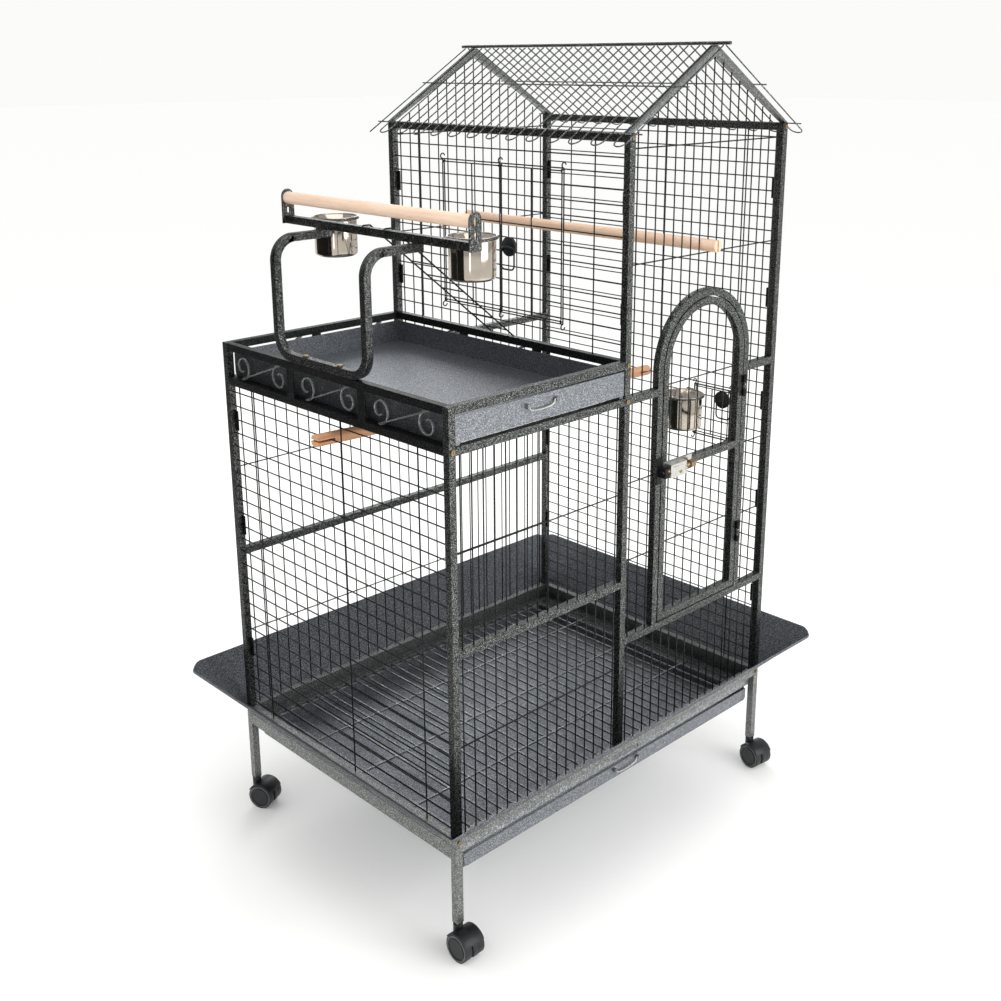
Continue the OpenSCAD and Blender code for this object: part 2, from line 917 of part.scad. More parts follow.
// A quarter bend of square tube, from +X towards +Y about the origin
module tube_bend() {
  rotate_extrude(angle = 90)
    translate([bend_r - tube / 2, -tube / 2])
      square(tube);
}

module play_stand_tube() {
  half = tube / 2;
  low = fence_z + half;
  top = bar_z - half;
  color("dimgray") {
    block([stand_x - half, stand_y - stand_w / 2 + bend_r, fence_z],
      [stand_x + half, stand_y + stand_w / 2 - bend_r, fence_z + tube]);
    for (s = [-1, 1])
      translate([stand_x, stand_y, 0])
        mirror([0, s < 0 ? 1 : 0, 0])
          translate([0, stand_w / 2, 0]) {
            translate([0, -bend_r, low + bend_r])
              rotate([0, 90, 0])
                tube_bend();
            block([-half, -half, low + bend_r], [half, half, top - bend_r]);
            translate([bend_r, 0, top - bend_r])
              rotate([90, 0, 180])
                tube_bend();
            block([bend_r, -half, top - half], [play_x - stand_x + half, half, top + half]);
          }
  }
}

module play_bar() {
  mid = perch_z - bar_z;
  color("dimgray") {
    block([play_x - tube / 2, -bar_len / 2, bar_z], [play_x + tube / 2, bar_len / 2, bar_z + tube]);
    for (y = [-bar_len / 2 - plate_t, bar_len / 2])
      facing_front(y, plate_t)
        translate([play_x, bar_z])
          difference() {
            union() {
              translate([-plate_w / 2, 0])
                square([plate_w, plate_h - plate_w / 2]);
              translate([0, plate_h - plate_w / 2])
                circle(plate_w / 2);
            }
            translate([-2.5, mid - 7])
              square([5, 14]);
            translate([-2.5, tube + 5])
              square([5, 10]);
          }
  }
}

module play_perch() {
  color("burlywood")
    round_rod([play_x, -bar_len / 2, perch_z], perch_d / 2, bar_len, "y");
}

// ---- cups and their rings ----

// A steel cup with a rolled rim, hanging from its rim's height z
module cup(x, y, z) {
  r = cup_d / 2;
  heel = 4;
  translate([x, y, z - cup_h])
    rotate_extrude($fn = 96)
      polygon([
        [0, 0], [r - heel, 0], [r, heel], [r, cup_h - rim_t], [r + cup_rim, cup_h - rim_t],
        [r + cup_rim, cup_h],
        [r - cup_wall, cup_h], [r - cup_wall, heel + 0.4], [r - heel - 0.6, cup_wall], [0, cup_wall]
      ]);
}

// The wire ring that a cup hangs in
ring_mid = cup_d / 2 + rest + ring_r;
rim_t = 1.6;

module cup_ring(x, y, z) {
  translate([x, y, z - rim_t - rest - ring_r])
    rotate_extrude($fn = 96)
      translate([ring_mid, 0])
        circle(ring_r, $fn = 24);
}

// Each ring has an arm to its support: the play bar, or a tab on the right side's wires
module cup_rings() {
  arm = [18, 3];
  bar_face = play_x + tube / 2;
  play_arm_z = play_cup_z - rim_t - rest - ring_r;
  low_arm_z = low_cup_z - rim_t - rest - ring_r;
  tab_y = feeder_pin_y + rod + feeder_gap + 2;
  tab = [3, 16, 40];
  color("dimgray") {
    for (s = [-1, 1]) {
      cup_ring(cup_x, s * cup_y, play_cup_z);
      block([bar_face, s * cup_y - arm[0] / 2, play_arm_z - arm[1] / 2],
        [cup_x - ring_mid, s * cup_y + arm[0] / 2, play_arm_z + arm[1] / 2]);
    }
    cup_ring(low_cup_x, low_cup_y, low_cup_z);
    block([low_cup_x + arch_rise(ring_mid, tab_y - low_cup_y), tab_y, low_arm_z - arm[1] / 2],
      [feeder_x0, tab_y + 6, low_arm_z + arm[1] / 2]);
    translate([feeder_x0 - tab[0], tab_y, low_arm_z + arm[1] / 2 - tab[2]])
      cube(tab);
  }
}

module cup_back() {
  color("silver")
    cup(cup_x, cup_y, play_cup_z);
}

module cup_front() {
  color("silver")
    cup(cup_x, -cup_y, play_cup_z);
}

module cup_inside() {
  color("silver")
    cup(low_cup_x, low_cup_y, low_cup_z);
}

// ---- inside perches ----

// A dowel along X with a level slot in each end, which straddles a wire
module slotted_perch(len, turn) {
  slot = perch_out + tube + 3;
  difference() {
    round_rod([-len / 2, 0, 0], perch_d / 2, len, "x");
    for (s = [-1, 1])
      translate([s * (len / 2 - slot / 2) - slot / 2 - 1, 0, 0])
        rotate([turn, 0, 0])
          translate([0, -perch_d, -wire / 2 - 0.5])
            cube([slot + 2, 2 * perch_d, wire + 1]);
  }
}

module tower_perch() {
  color("burlywood")
    translate([tower_mid, 0, tower_perch_z])
      rotate([0, 0, 90])
        slotted_perch(cage_d + 2 * perch_out, 90);
}

// The level wires that hold the two ends of the lower perch
low_perch_left = nearest(left_levels, low_perch_z);
low_perch_right = nearest(right_levels, low_perch_z - low_perch_fall);

module lower_perch() {
  x0 = -hw - perch_out - 4;
  x1 = hw - wire_in;
  wire_x = hw - wire_in - wire / 2;
  fall = low_perch_left - low_perch_right;
  mid_z = (low_perch_left + low_perch_right) / 2;
  color("burlywood")
    translate([(x0 + x1) / 2, 4, mid_z - (x0 + x1) / 2 * fall / (2 * wire_x)])
      rotate([0, atan(fall / (2 * wire_x)), 0])
        slotted_perch(x1 - x0, 0);
}

// ---- arched door ----

// A door-shaped area: straight sides up to an arch of radius r
module arch_area(r, z0) {
  translate([tower_mid - r, z0])
    square([2 * r, arch_c - z0]);
  translate([tower_mid, arch_c])
    circle(r, $fn = 180);
}

// The fixed arch round the door, standing on the rail below it
module door_jamb() {
  color("dimgray")
    facing_front(-hd, tube)
      difference() {
        arch_area(jamb_r, jamb_foot);
        arch_area(jamb_r - tube, jamb_foot - 1);
      }
}

// One hinge knuckle about the pin, with its plate towards side
module knuckle_at(z, len, side) {
  translate([hinge_x, hinge_y, z])
    cylinder(r = barrel_r, h = len);
  x0 = side > 0 ? hinge_x : hinge_x - 13;
  block([x0, -hd - hinge_leaf, z], [x0 + 13, -hd, z + len]);
}

module hinge_pins() {
  color("black")
    for (z = hinge_zs) {
      knuckle_at(z, knuckle - 0.3, 1);
      knuckle_at(z + 2 * knuckle + 0.3, knuckle - 0.3, 1);
      round_rod([hinge_x, hinge_y, z], hinge_pin_r, hinge_len, "z");
    }
}

module door_leaf() {
  color("dimgray") {
    facing_front(-hd, tube)
      difference() {
        arch_area(leaf_r, leaf_z);
        difference() {
          arch_area(leaf_r - tube, leaf_z + tube);
          translate([tower_mid - leaf_r, cross_z])
            square([2 * leaf_r, tube]);
        }
      }
    for (z = hinge_zs)
      difference() {
        knuckle_at(z + knuckle, knuckle, -1);
        translate([hinge_x, hinge_y, z])
          cylinder(r = hinge_pin_r + run, h = hinge_len);
      }
  }
}

module door_wires() {
  r = leaf_r - tube;
  xs = wire_places(tower_mid - r, tower_mid + r, wire_step);
  low = leaf_z + tube;
  mid = cross_z + tube;
  color("dimgray")
    facing_front(-hd + wire_in, wire) {
      grid(tower_mid - r, tower_mid + r, low, cross_z, xs, wire_places(low, cross_z, brace_step, 1));
      for (x = xs)
        translate([x - wire / 2, mid])
          square([wire, arch_c + arch_rise(r, abs(x - tower_mid) + wire / 2) - mid]);
      translate([tower_mid - r, (mid + arch_z - tube) / 2 - wire / 2])
        square([2 * r, wire]);
    }
}

// ---- door latch ----

latch_block = [46, 19, 26];
latch_plate_t = 2;

module latch_body() {
  color("gainsboro")
    difference() {
      union() {
        block([latch_x, -hd - latch_plate_t, bolt_z - latch_h / 2], [latch_x + latch_len, -hd, bolt_z + latch_h / 2]);
        translate([latch_x + 2, -hd - latch_block[1], bolt_z - latch_block[2] / 2])
          cube(latch_block);
      }
      round_rod([latch_x - 1, bolt_y, bolt_z], bolt_r + run, latch_block[0] + 6, "x");
    }
}

// The bolt is drawn back at rest. It slides towards the keeper.
module latch_bolt() {
  tip_x = keeper_x + tube / 2 + bolt_gap - 2;
  knob_x = latch_x + latch_block[0] + bolt_travel + 3;
  knob_len = 13;
  color("peru") {
    round_rod([tip_x, bolt_y, bolt_z], bolt_r, knob_x + knob_len - tip_x, "x");
    translate([knob_x, bolt_y, bolt_z])
      rotate([0, 90, 0])
        cylinder(r = 8.5, h = knob_len, $fn = 6);
  }
}

module latch_keeper() {
  w = 9;
  color("black")
    difference() {
      union() {
        block([keeper_x - tube / 2, -hd - 2, bolt_z - 25], [keeper_x + tube / 2, -hd, bolt_z + 25]);
        block([keeper_x - w / 2, bolt_y - bolt_r - 4, bolt_z - 9], [keeper_x + w / 2, -hd, bolt_z + 9]);
      }
      round_rod([keeper_x - w, bolt_y, bolt_z], bolt_r + 0.5, 2 * w, "x");
    }
}

// ---- wire doors onto the play top ----

// A wire door leaf drawn flat: a heavier wire all round, and level wires inside
module wire_leaf(y0, y1, z0, z1, uprights, levels) {
  difference() {
    translate([y0, z0])
      square([y1 - y0, z1 - z0]);
    translate([y0 + rod, z0 + rod])
      square([y1 - y0 - 2 * rod, z1 - z0 - 2 * rod]);
  }
  grid(y0, y1, z0, z1, uprights, levels);
}

// The leaf on the back or front half of the opening, with its two hinge pins
module play_leaf(s) {
  z0 = play_z0 + play_in;
  z1 = play_z1 - play_in;
  y_in = play_in / 2;
  y_out = play_half - play_in;
  facing_side(play_x0, wire)
    mirror([s < 0 ? 1 : 0, 0])
      wire_leaf(y_in, y_out, z0, z1, [(y_in + y_out) / 2], tower_levels);
  for (z = [z0 - play_in - rod, z1 - eps])
    round_rod([play_x0 + wire / 2, s * play_pin_y, z], pin_r, play_in + rod + eps, "z");
}

module play_door_back() {
  color("dimgray")
    play_leaf(1);
}

module play_door_front() {
  color("dimgray")
    play_leaf(-1);
}

// ---- turn latches of the wire doors ----

knob_r = 18;
knob_t = 11;
play_latch = [play_x0 - rest, -26, 1135];
feeder_latch_at = [hw - wire_in + rest, -feeder_y - feeder_w / 2 + knob_r + 3, feeder_z + feeder_h - knob_r - 4];

// A ribbed knob with a wire loop below it, turned about X. side is where its face looks.
module turn_latch(at, side) {
  ribs = 5;
  loop_w = 34;
  drop = 42;
  loop_r = 1.6;
  x = side * (knob_t + loop_r) / 2;
  translate(at) {
    difference() {
      translate([side > 0 ? 0 : -knob_t, 0, 0])
        rotate([0, 90, 0])
          cylinder(r = knob_r, h = knob_t);
      for (i = [0:ribs - 1])
        translate([side > 0 ? knob_t - 2 : -knob_t - 1, -knob_r, (i - (ribs - 1) / 2) * 6 - 1.2])
          cube([3, 2 * knob_r, 2.4]);
    }
    for (s = [-1, 1]) {
      round_rod([x, s * loop_w / 2, -drop], loop_r, drop, "z");
      translate([x, s * loop_w / 2, -drop])
        sphere(loop_r);
    }
    round_rod([x, -loop_w / 2, -drop], loop_r, loop_w, "y");
  }
}

module play_door_latch() {
  color("black")
    turn_latch(play_latch, -1);
}

module feeder_latch() {
  color("black")
    turn_latch(feeder_latch_at, 1);
}

// ---- feeder door ----

module feeder_door() {
  y0 = -feeder_y - feeder_w / 2 + feeder_gap;
  y1 = y0 + feeder_w - 2 * feeder_gap;
  z0 = feeder_z + feeder_gap;
  z1 = z0 + feeder_h - 2 * feeder_gap;
  color("dimgray") {
    facing_side(feeder_x0, wire)
      wire_leaf(y0, y1, z0, z1, [(y0 + y1) / 2], right_levels);
    for (z = [z0 - feeder_gap - rod, z1 - eps])
      round_rod([feeder_x0 + wire / 2, feeder_pin_y, z], pin_r, feeder_gap + rod + eps, "z");
  }
}

// ---- ladder ----

ladder_foot = [tower_x + 3, fence_z + rest];
ladder_head = [play_x + tube / 2 + rest + 1.4, bar_z + tube + rest];
ladder_y = -8;

// A wire ladder from the fence under the wire doors up to the play bar, which its hooks hold
module ladder() {
  d = ladder_head - ladder_foot;
  len = norm(d);
  rise = atan2(d[1], -d[0]);
  t = 3;
  hook_x = play_x - tube / 2 - rest;
  hook_w = ladder_head[0] + t - hook_x;
  color("dimgray") {
    for (s = [-1, 1])
      facing_front(ladder_y + s * (ladder_w - t) / 2 - t / 2, t) {
        translate(ladder_foot)
          rotate(180 - rise)
            mirror([0, 1])
              square([len, t]);
        translate([hook_x - t, ladder_head[1]])
          square([hook_w + t - 0.5, t]);
        translate([hook_x - t, ladder_head[1] - 10])
          square([t, 10 + t]);
      }
    for (i = [1:ladder_rungs])
      translate([ladder_foot[0], ladder_y, ladder_foot[1]] + (i - 0.5) / ladder_rungs * [d[0], 0, d[1]])
        rotate([0, rise, 0])
          translate([-t, -ladder_w / 2 + t / 2, 0.25])
            cube([t, ladder_w - t, t - 0.5]);
  }
}

// ---- casters ----

// Swivel angle of each caster at rest
caster_turns = [0, -8, 25, 40];
caster_spots = [[-1, -1], [1, -1], [-1, 1], [1, 1]];

// Puts a caster under its leg: its stem is on the Z axis, and its wheels trail towards -Y
module at_leg(i) {
  translate([caster_spots[i][0] * (hw - tube / 2), caster_spots[i][1] * (hd - tube / 2), 0])
    rotate([0, 0, caster_turns[i]])
      children();
}

web_half = 5;
hood_t = 1.6;
hood_gap = 0.8;
hood_low = 12;
axle_r = 3;

// The plastic hood between and over the twin wheels, with its steel stem
module caster_body(i) {
  hood_r = wheel_r + hood_gap + hood_t;
  width = 2 * (web_half + wheel_w + 1);
  at_leg(i) {
    color("black")
      difference() {
        translate([0, -caster_trail, wheel_r])
          rotate([0, 90, 0]) {
            difference() {
              translate([0, 0, -width / 2])
                cylinder(r = hood_r, h = width);
              translate([0, 0, -width / 2 - 1])
                cylinder(r = hood_r - hood_t, h = width + 2);
              translate([-hood_low, -hood_r - 1, -width])
                cube([2 * hood_r, 2 * hood_r + 2, 2 * width]);
            }
            difference() {
              translate([0, 0, -web_half])
                cylinder(r = hood_r - hood_t / 2, h = 2 * web_half);
              translate([wheel_r * 0.45, -hood_r, -web_half - 1])
                cube([hood_r, 2 * hood_r, 2 * web_half + 2]);
              translate([0, 0, -web_half - 1])
                cylinder(r = axle_r + run, h = 2 * web_half + 2);
            }
          }
        translate([-2 * stem_r, -2 * stem_r, caster_h - 4])
          cube([4 * stem_r, 4 * stem_r, 10]);
      }
    color("black")
      difference() {
        translate([0, 0, wheel_r + 12])
          cylinder(r = 8.5, h = caster_h - wheel_r - 13);
        translate([0, -caster_trail, wheel_r])
          rotate([0, 90, 0])
            translate([0, 0, -width])
              cylinder(r = hood_r - hood_t, h = 2 * width);
      }
    color("silver")
      translate([0, 0, caster_h - 1.5])
        cylinder(r = stem_r, h = stem_in);
  }
}

// The twin wheels on their axle
module caster_wheels(i) {
  groove = 1;
  at_leg(i)
    color("black")
      translate([0, -caster_trail, wheel_r])
        rotate([0, 90, 0]) {
          translate([0, 0, -web_half - 1 - wheel_w / 2])
            cylinder(r = axle_r, h = 2 * web_half + 2 + wheel_w);
          for (s = [0, 1])
            mirror([0, 0, s])
              translate([0, 0, web_half + 1])
                difference() {
                  cylinder(r = wheel_r, h = wheel_w, $fn = 96);
                  translate([0, 0, wheel_w - groove])
                    difference() {
                      cylinder(r = wheel_r * 0.8, h = 2 * groove, $fn = 96);
                      translate([0, 0, -1])
                        cylinder(r = wheel_r * 0.7, h = 4 * groove, $fn = 96);
                    }
                }
        }
}

module caster_front_left() {
  caster_body(0);
}

module wheels_front_left() {
  caster_wheels(0);
}

module caster_front_right() {
  caster_body(1);
}

module wheels_front_right() {
  caster_wheels(1);
}

module caster_back_left() {
  caster_body(2);
}

module wheels_back_left() {
  caster_wheels(2);
}

module caster_back_right() {
  caster_body(3);
}

module wheels_back_right() {
  caster_wheels(3);
}

stand_legs();
stand_rails();
floor_frame();
skirt_front_back();
skirt_sides();
platform_posts();
tower_posts();
front_rails();
back_rails();
eave_beams();
rafters();
ridge_rod();
roof_left();
roof_right();
wires_front_left();
wires_front_tower();
wires_back();
wires_left();
wires_tower_left();
wires_right();
hook_plates();
screws();
fence_rails();
fence_scrolls();
play_stand_tube();
play_bar();
play_perch();
cup_rings();
tower_perch();
lower_perch();
door_jamb();
hinge_pins();
latch_keeper();
door_leaf();
door_wires();
latch_body();
latch_bolt();
play_door_back();
play_door_front();
play_door_latch();
feeder_door();
feeder_latch();
platform_tray();
platform_handle();
base_tray();
base_handle();
floor_grate();
ladder();
cup_back();
cup_front();
cup_inside();
caster_front_left();
caster_front_right();
caster_back_left();
caster_back_right();
wheels_front_left();
wheels_front_right();
wheels_back_left();
wheels_back_right();
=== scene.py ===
import math

import bpy
from mathutils import Matrix, Vector


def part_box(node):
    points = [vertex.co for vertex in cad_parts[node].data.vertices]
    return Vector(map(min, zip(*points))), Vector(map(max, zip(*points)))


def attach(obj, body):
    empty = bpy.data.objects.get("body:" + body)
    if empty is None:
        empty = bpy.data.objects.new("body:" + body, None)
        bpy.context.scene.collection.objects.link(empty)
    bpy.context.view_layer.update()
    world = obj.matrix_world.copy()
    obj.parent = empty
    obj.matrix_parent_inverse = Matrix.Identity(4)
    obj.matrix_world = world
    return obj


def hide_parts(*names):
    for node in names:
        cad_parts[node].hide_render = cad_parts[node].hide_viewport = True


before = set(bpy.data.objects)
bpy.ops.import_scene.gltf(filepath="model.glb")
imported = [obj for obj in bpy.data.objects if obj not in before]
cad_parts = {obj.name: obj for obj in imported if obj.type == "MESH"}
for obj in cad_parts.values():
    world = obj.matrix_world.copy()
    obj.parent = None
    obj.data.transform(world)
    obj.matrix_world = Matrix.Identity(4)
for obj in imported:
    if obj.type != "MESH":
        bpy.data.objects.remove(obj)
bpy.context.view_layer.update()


# ---- Camera, floor and light ----
# The cage stands on a pale studio floor, seen from its front left corner. Big soft lights in
# front and above show up the paint's grain, and the side that faces left is kept dark.

def paint(hex_code):
    """An sRGB colour, such as "#8a8f8c", as linear RGBA."""
    parts = [int(hex_code[i:i + 2], 16) / 255 for i in (1, 3, 5)]
    return [p / 12.92 if p <= 0.04045 else ((p + 0.055) / 1.055) ** 2.4 for p in parts] + [1.0]


def add(tree, kind, inputs=None, **settings):
    """Adds a shader node. An input is a value, or the socket that is linked to it."""
    made = tree.nodes.new(kind)
    for key, value in settings.items():
        setattr(made, key, value)
    for key, value in (inputs or {}).items():
        if isinstance(value, bpy.types.NodeSocket):
            tree.links.new(value, made.inputs[key])
        else:
            made.inputs[key].default_value = value
    return made


camera = bpy.data.objects.new("camera", bpy.data.cameras.new("camera"))
camera.data.lens = 44.06
camera.data.shift_x = -0.0077
camera.data.shift_y = -0.0984
turn = math.radians(44.04)
drop = math.radians(15.64)
roll = math.radians(-0.27)
ahead = Vector((math.sin(turn) * math.cos(drop), math.cos(turn) * math.cos(drop), -math.sin(drop)))
level = ahead.cross(Vector((0, 0, 1))).normalized()
upward = level.cross(ahead)
right = level * math.cos(roll) + upward * math.sin(roll)
above = upward * math.cos(roll) - level * math.sin(roll)
camera.matrix_world = Matrix.Translation((-1.5843, -1.6384, 1.4671)) @ Matrix(
    (right, above, -ahead)).transposed().to_4x4()
bpy.context.collection.objects.link(camera)
bpy.context.scene.camera = camera

floor_mesh = bpy.data.meshes.new("studio_floor")
floor_mesh.from_pydata([(-40, -40, 0), (40, -40, 0), (40, 40, 0), (-40, 40, 0)], [], [(0, 1, 2, 3)])
floor = bpy.data.objects.new("studio_floor", floor_mesh)
bpy.context.collection.objects.link(floor)
floor_paint = bpy.data.materials.new("studio_floor_paint")
floor_paint.use_nodes = True
floor_paint.node_tree.nodes["Principled BSDF"].inputs["Base Color"].default_value = paint("#f7f7f6")
floor_paint.node_tree.nodes["Principled BSDF"].inputs["Emission Color"].default_value = paint("#ffffff")
floor_paint.node_tree.nodes["Principled BSDF"].inputs["Emission Strength"].default_value = 0.1
floor_paint.node_tree.nodes["Principled BSDF"].inputs["Roughness"].default_value = 0.9
floor_paint.node_tree.nodes["Principled BSDF"].inputs["Specular IOR Level"].default_value = 0.1
floor_mesh.materials.append(floor_paint)

# The room is bright where it lights matt surfaces, and dim where it is mirrored
room = bpy.data.worlds.new("studio_room")
bpy.context.scene.world = room
room.use_nodes = True
tree = room.node_tree
tree.nodes.clear()
ray = add(tree, "ShaderNodeLightPath")
bright = add(tree, "ShaderNodeBackground", {"Color": paint("#fbfbfa"), "Strength": 1.0})
dim = add(tree, "ShaderNodeBackground", {"Color": paint("#e8eaec"), "Strength": 0.75})
mixed = add(tree, "ShaderNodeMixShader",
            {0: ray.outputs["Is Glossy Ray"], 1: bright.outputs[0], 2: dim.outputs[0]})
add(tree, "ShaderNodeOutputWorld", {"Surface": mixed.outputs[0]})


def softbox(name, place, aim, width, height, watts):
    lamp = bpy.data.lights.new(name, "AREA")
    lamp.shape = "RECTANGLE"
    lamp.size = width
    lamp.size_y = height
    lamp.energy = watts
    made = bpy.data.objects.new(name, lamp)
    made.location = place
    made.rotation_euler = (Vector(aim) - Vector(place)).to_track_quat("-Z", "Y").to_euler()
    bpy.context.collection.objects.link(made)


# A black card beside the left of the cage, which only reflections see, keeps that side dark
card_mesh = bpy.data.meshes.new("black_card")
card_mesh.from_pydata([(-1.1, -0.3, 0), (-1.1, 3.2, 0), (-1.1, 3.2, 1.8), (-1.1, -0.3, 1.8)], [],
                      [(0, 1, 2, 3)])
card = bpy.data.objects.new("black_card", card_mesh)
bpy.context.collection.objects.link(card)
card.visible_camera = False
card.visible_diffuse = False
card.visible_shadow = False
card_paint = bpy.data.materials.new("black_card_paper")
card_paint.use_nodes = True
card_paint.node_tree.nodes["Principled BSDF"].inputs["Base Color"].default_value = paint("#0a0a0a")
card_paint.node_tree.nodes["Principled BSDF"].inputs["Roughness"].default_value = 1.0
card_mesh.materials.append(card_paint)

softbox("key_light", (0.9, -3.4, 1.9), (0, 0, 0.8), 2.4, 2.2, 62)
softbox("top_light", (-0.3, -0.2, 3.6), (0, 0, 0.6), 2.6, 2.2, 30)
softbox("strip_light", (-2.6, -1.9, 1.4), (0, 0, 0.9), 0.25, 1.8, 5)
softbox("back_light", (2.2, 2.6, 2.2), (0, 0, 0.9), 1.2, 1.8, 22)
bpy.context.scene.view_settings.view_transform = "Standard"


# ---- Welded tube frame ----
# Square steel tube, welded and then powder coated in one silver-vein hammertone colour: legs,
# floor frame, posts, rails, rafters, the arch of the door and the bent tube of the play stand.

def coat(name, dark, mid, pale, metallic, rough, grain_mm=2.6, bump=0.35):
    """A silver-vein powder coat: dark pits between paler raised grains, grain_mm apart."""
    made = bpy.data.materials.new(name)
    made.use_nodes = True
    tree = made.node_tree
    shader = tree.nodes["Principled BSDF"]
    place = add(tree, "ShaderNodeTexCoord").outputs["Object"]
    wobble = add(tree, "ShaderNodeTexNoise", {"Vector": place, "Scale": 600 / grain_mm, "Detail": 2.0})
    shifted = add(tree, "ShaderNodeVectorMath", {0: place}, operation="MULTIPLY_ADD")
    shifted.inputs[1].default_value = (1, 1, 1)
    scaled = add(tree, "ShaderNodeVectorMath", {0: wobble.outputs["Color"]}, operation="SCALE")
    scaled.inputs["Scale"].default_value = grain_mm * 0.0006
    tree.links.new(scaled.outputs[0], shifted.inputs[2])
    cells = add(tree, "ShaderNodeTexVoronoi", {"Vector": shifted.outputs[0], "Scale": 1000 / grain_mm},
                feature="SMOOTH_F1")
    cells.inputs["Smoothness"].default_value = 0.4
    cloud = add(tree, "ShaderNodeTexNoise", {"Vector": place, "Scale": 1000 / (grain_mm * 2.2), "Detail": 4.0,
                                             "Roughness": 0.7})
    height = add(tree, "ShaderNodeMath", {0: cloud.outputs["Fac"], 1: cells.outputs["Distance"]},
                 operation="SUBTRACT")
    shade = add(tree, "ShaderNodeValToRGB", {"Fac": height.outputs[0]})
    shade.color_ramp.elements[0].position = 0.02
    shade.color_ramp.elements[0].color = paint(dark)
    shade.color_ramp.elements[1].position = 0.42
    shade.color_ramp.elements[1].color = paint(pale)
    middle = shade.color_ramp.elements.new(0.2)
    middle.color = paint(mid)
    gloss = add(tree, "ShaderNodeMapRange", {"Value": height.outputs[0], "From Min": 0.0, "From Max": 0.4,
                                             "To Min": rough + 0.18, "To Max": rough})
    relief = add(tree, "ShaderNodeBump", {"Height": height.outputs[0], "Strength": bump, "Distance": 0.0005})
    tree.links.new(shade.outputs["Color"], shader.inputs["Base Color"])
    tree.links.new(gloss.outputs[0], shader.inputs["Roughness"])
    tree.links.new(relief.outputs[0], shader.inputs["Normal"])
    shader.inputs["Metallic"].default_value = metallic
    return made


# Silver vein over near black: from afar a mid grey, close up pale grains with dark pits
hammertone = coat("silver_vein_powder_coat", "#303231", "#7f817f", "#d4d6d3", 0.96, 0.3, 1.3, 0.55)


def dress(name, material, bevel_mm=0.0):
    """Gives a CAD node its finish, and rounds its edges a little."""
    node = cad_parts[name]
    node.data.materials.clear()
    node.data.materials.append(material)
    if bevel_mm:
        weld = node.modifiers.new("weld", "WELD")
        weld.merge_threshold = 0.00002
        edge = node.modifiers.new("edge", "BEVEL")
        edge.width = bevel_mm / 1000
        edge.segments = 2
        edge.limit_method = "ANGLE"
        edge.angle_limit = math.radians(40)
        edge.harden_normals = True


for name in ("platform_posts", "tower_posts", "front_rails", "back_rails", "eave_beams", "door_jamb",
             "door_leaf", "play_stand_tube", "play_bar"):
    dress(name, hammertone, 0.9)

# The stand, floor frame and rafters get a paler coat than the other tubes
pale_hammertone = coat("pale_silver_vein_coat", "#626463", "#acaeac", "#e4e6e3", 0.96, 0.3, 1.15, 0.45)
for name in ("stand_legs", "stand_rails", "floor_frame", "rafters"):
    dress(name, pale_hammertone, 0.9)


# ---- Wire panels ----
# Drawn steel wire, welded where it crosses and coated the same dark colour. The many thin wires
# lie outside, and the few long cross wires lie behind them.

wire = 2.5
wire_step = 25
hw, hd, tube = 429, 315, 14
inner_y = hd - tube
tower_x = hw - 453
tower_in0, tower_in1 = tower_x + tube, hw - tube
tower_mid = (tower_x + hw) / 2
frame_top, mid_rail, sill = 222, 546, 429
rail_z, rail_top, fence_top = 888, 902, 967
eave_z, apex_z = 1350, 1489
eave_low = eave_z - tube


def places(a, b, step, edge=0.5):
    """Even places across a span: half a step in from each side, or a whole step when edge is 1."""
    n = max(1, round((b - a) / step))
    pitch = (b - a) / n
    return [a + pitch * (i + (0.5 if edge < 1 else 0)) for i in range(n) if edge < 1 or i > 0]


def sweep(name, paths, radius, sides=8):
    """One mesh of round wires, each along a list of points in mm."""
    verts, faces = [], []
    for path in paths:
        points = [Vector(p) for p in path]
        ways = [(points[min(i + 1, len(points) - 1)] - points[max(i - 1, 0)]).normalized()
                for i in range(len(points))]
        side = ways[0].orthogonal().normalized()
        first = len(verts)
        for i, (point, way) in enumerate(zip(points, ways)):
            side = (side - way * side.dot(way)).normalized()
            other = way.cross(side)
            for k in range(sides):
                a = 2 * math.pi * k / sides
                verts.append((point + (side * math.cos(a) + other * math.sin(a)) * radius) / 1000)
            if i:
                low = first + (i - 1) * sides
                for k in range(sides):
                    j = (k + 1) % sides
                    faces.append((low + k, low + j, low + sides + j, low + sides + k))
        faces.append(tuple(first + k for k in reversed(range(sides))))
        faces.append(tuple(len(verts) - sides + k for k in range(sides)))
    mesh = bpy.data.meshes.new(name)
    mesh.from_pydata([tuple(v) for v in verts], [], faces)
    mesh.polygons.foreach_set("use_smooth", [len(f) == 4 for f in faces])
    made = bpy.data.objects.new(name, mesh)
    bpy.context.collection.objects.link(made)
    return made


def finish_piece(piece, material, body, slot, *nodes):
    piece.data.materials.append(material)
    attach(piece, body)
    if nodes:
        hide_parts(*nodes)
    return piece


# Dark coated wire: nearly black, with a soft sheen and a fine orange-peel grain
wire_coat = coat("dark_wire_coat", "#0d0f0f", "#232626", "#4a4e4d", 0.35, 0.36, 1.6, 0.2)


def upright(x, y, z0, z1):
    return [(x, y, z0), (x, y, z1)]


def level_x(x0, x1, y, z):
    return [(x0, y, z), (x1, y, z)]


def level_y(x, y0, y1, z):
    return [(x, y0, z), (x, y1, z)]


lift = 0.9  # how far the two layers of a panel lie from its middle plane
front_y = -hd + tube / 2
tower_n = 2 * int((tower_in1 - tower_in0) / wire_step / 2) + 1
tower_xs = places(tower_in0, tower_in1, (tower_in1 - tower_in0) / tower_n)
bay_xs = places(-hw + tube, tower_x, wire_step)


def under_rafter(x):
    slope = math.atan2(apex_z - eave_z, tower_mid - tower_x)
    rise = (apex_z - eave_z) * (1 - (abs(x - tower_mid) + wire / 2) / (tower_mid - tower_x))
    return eave_z + rise - 14 / math.cos(slope) + 2


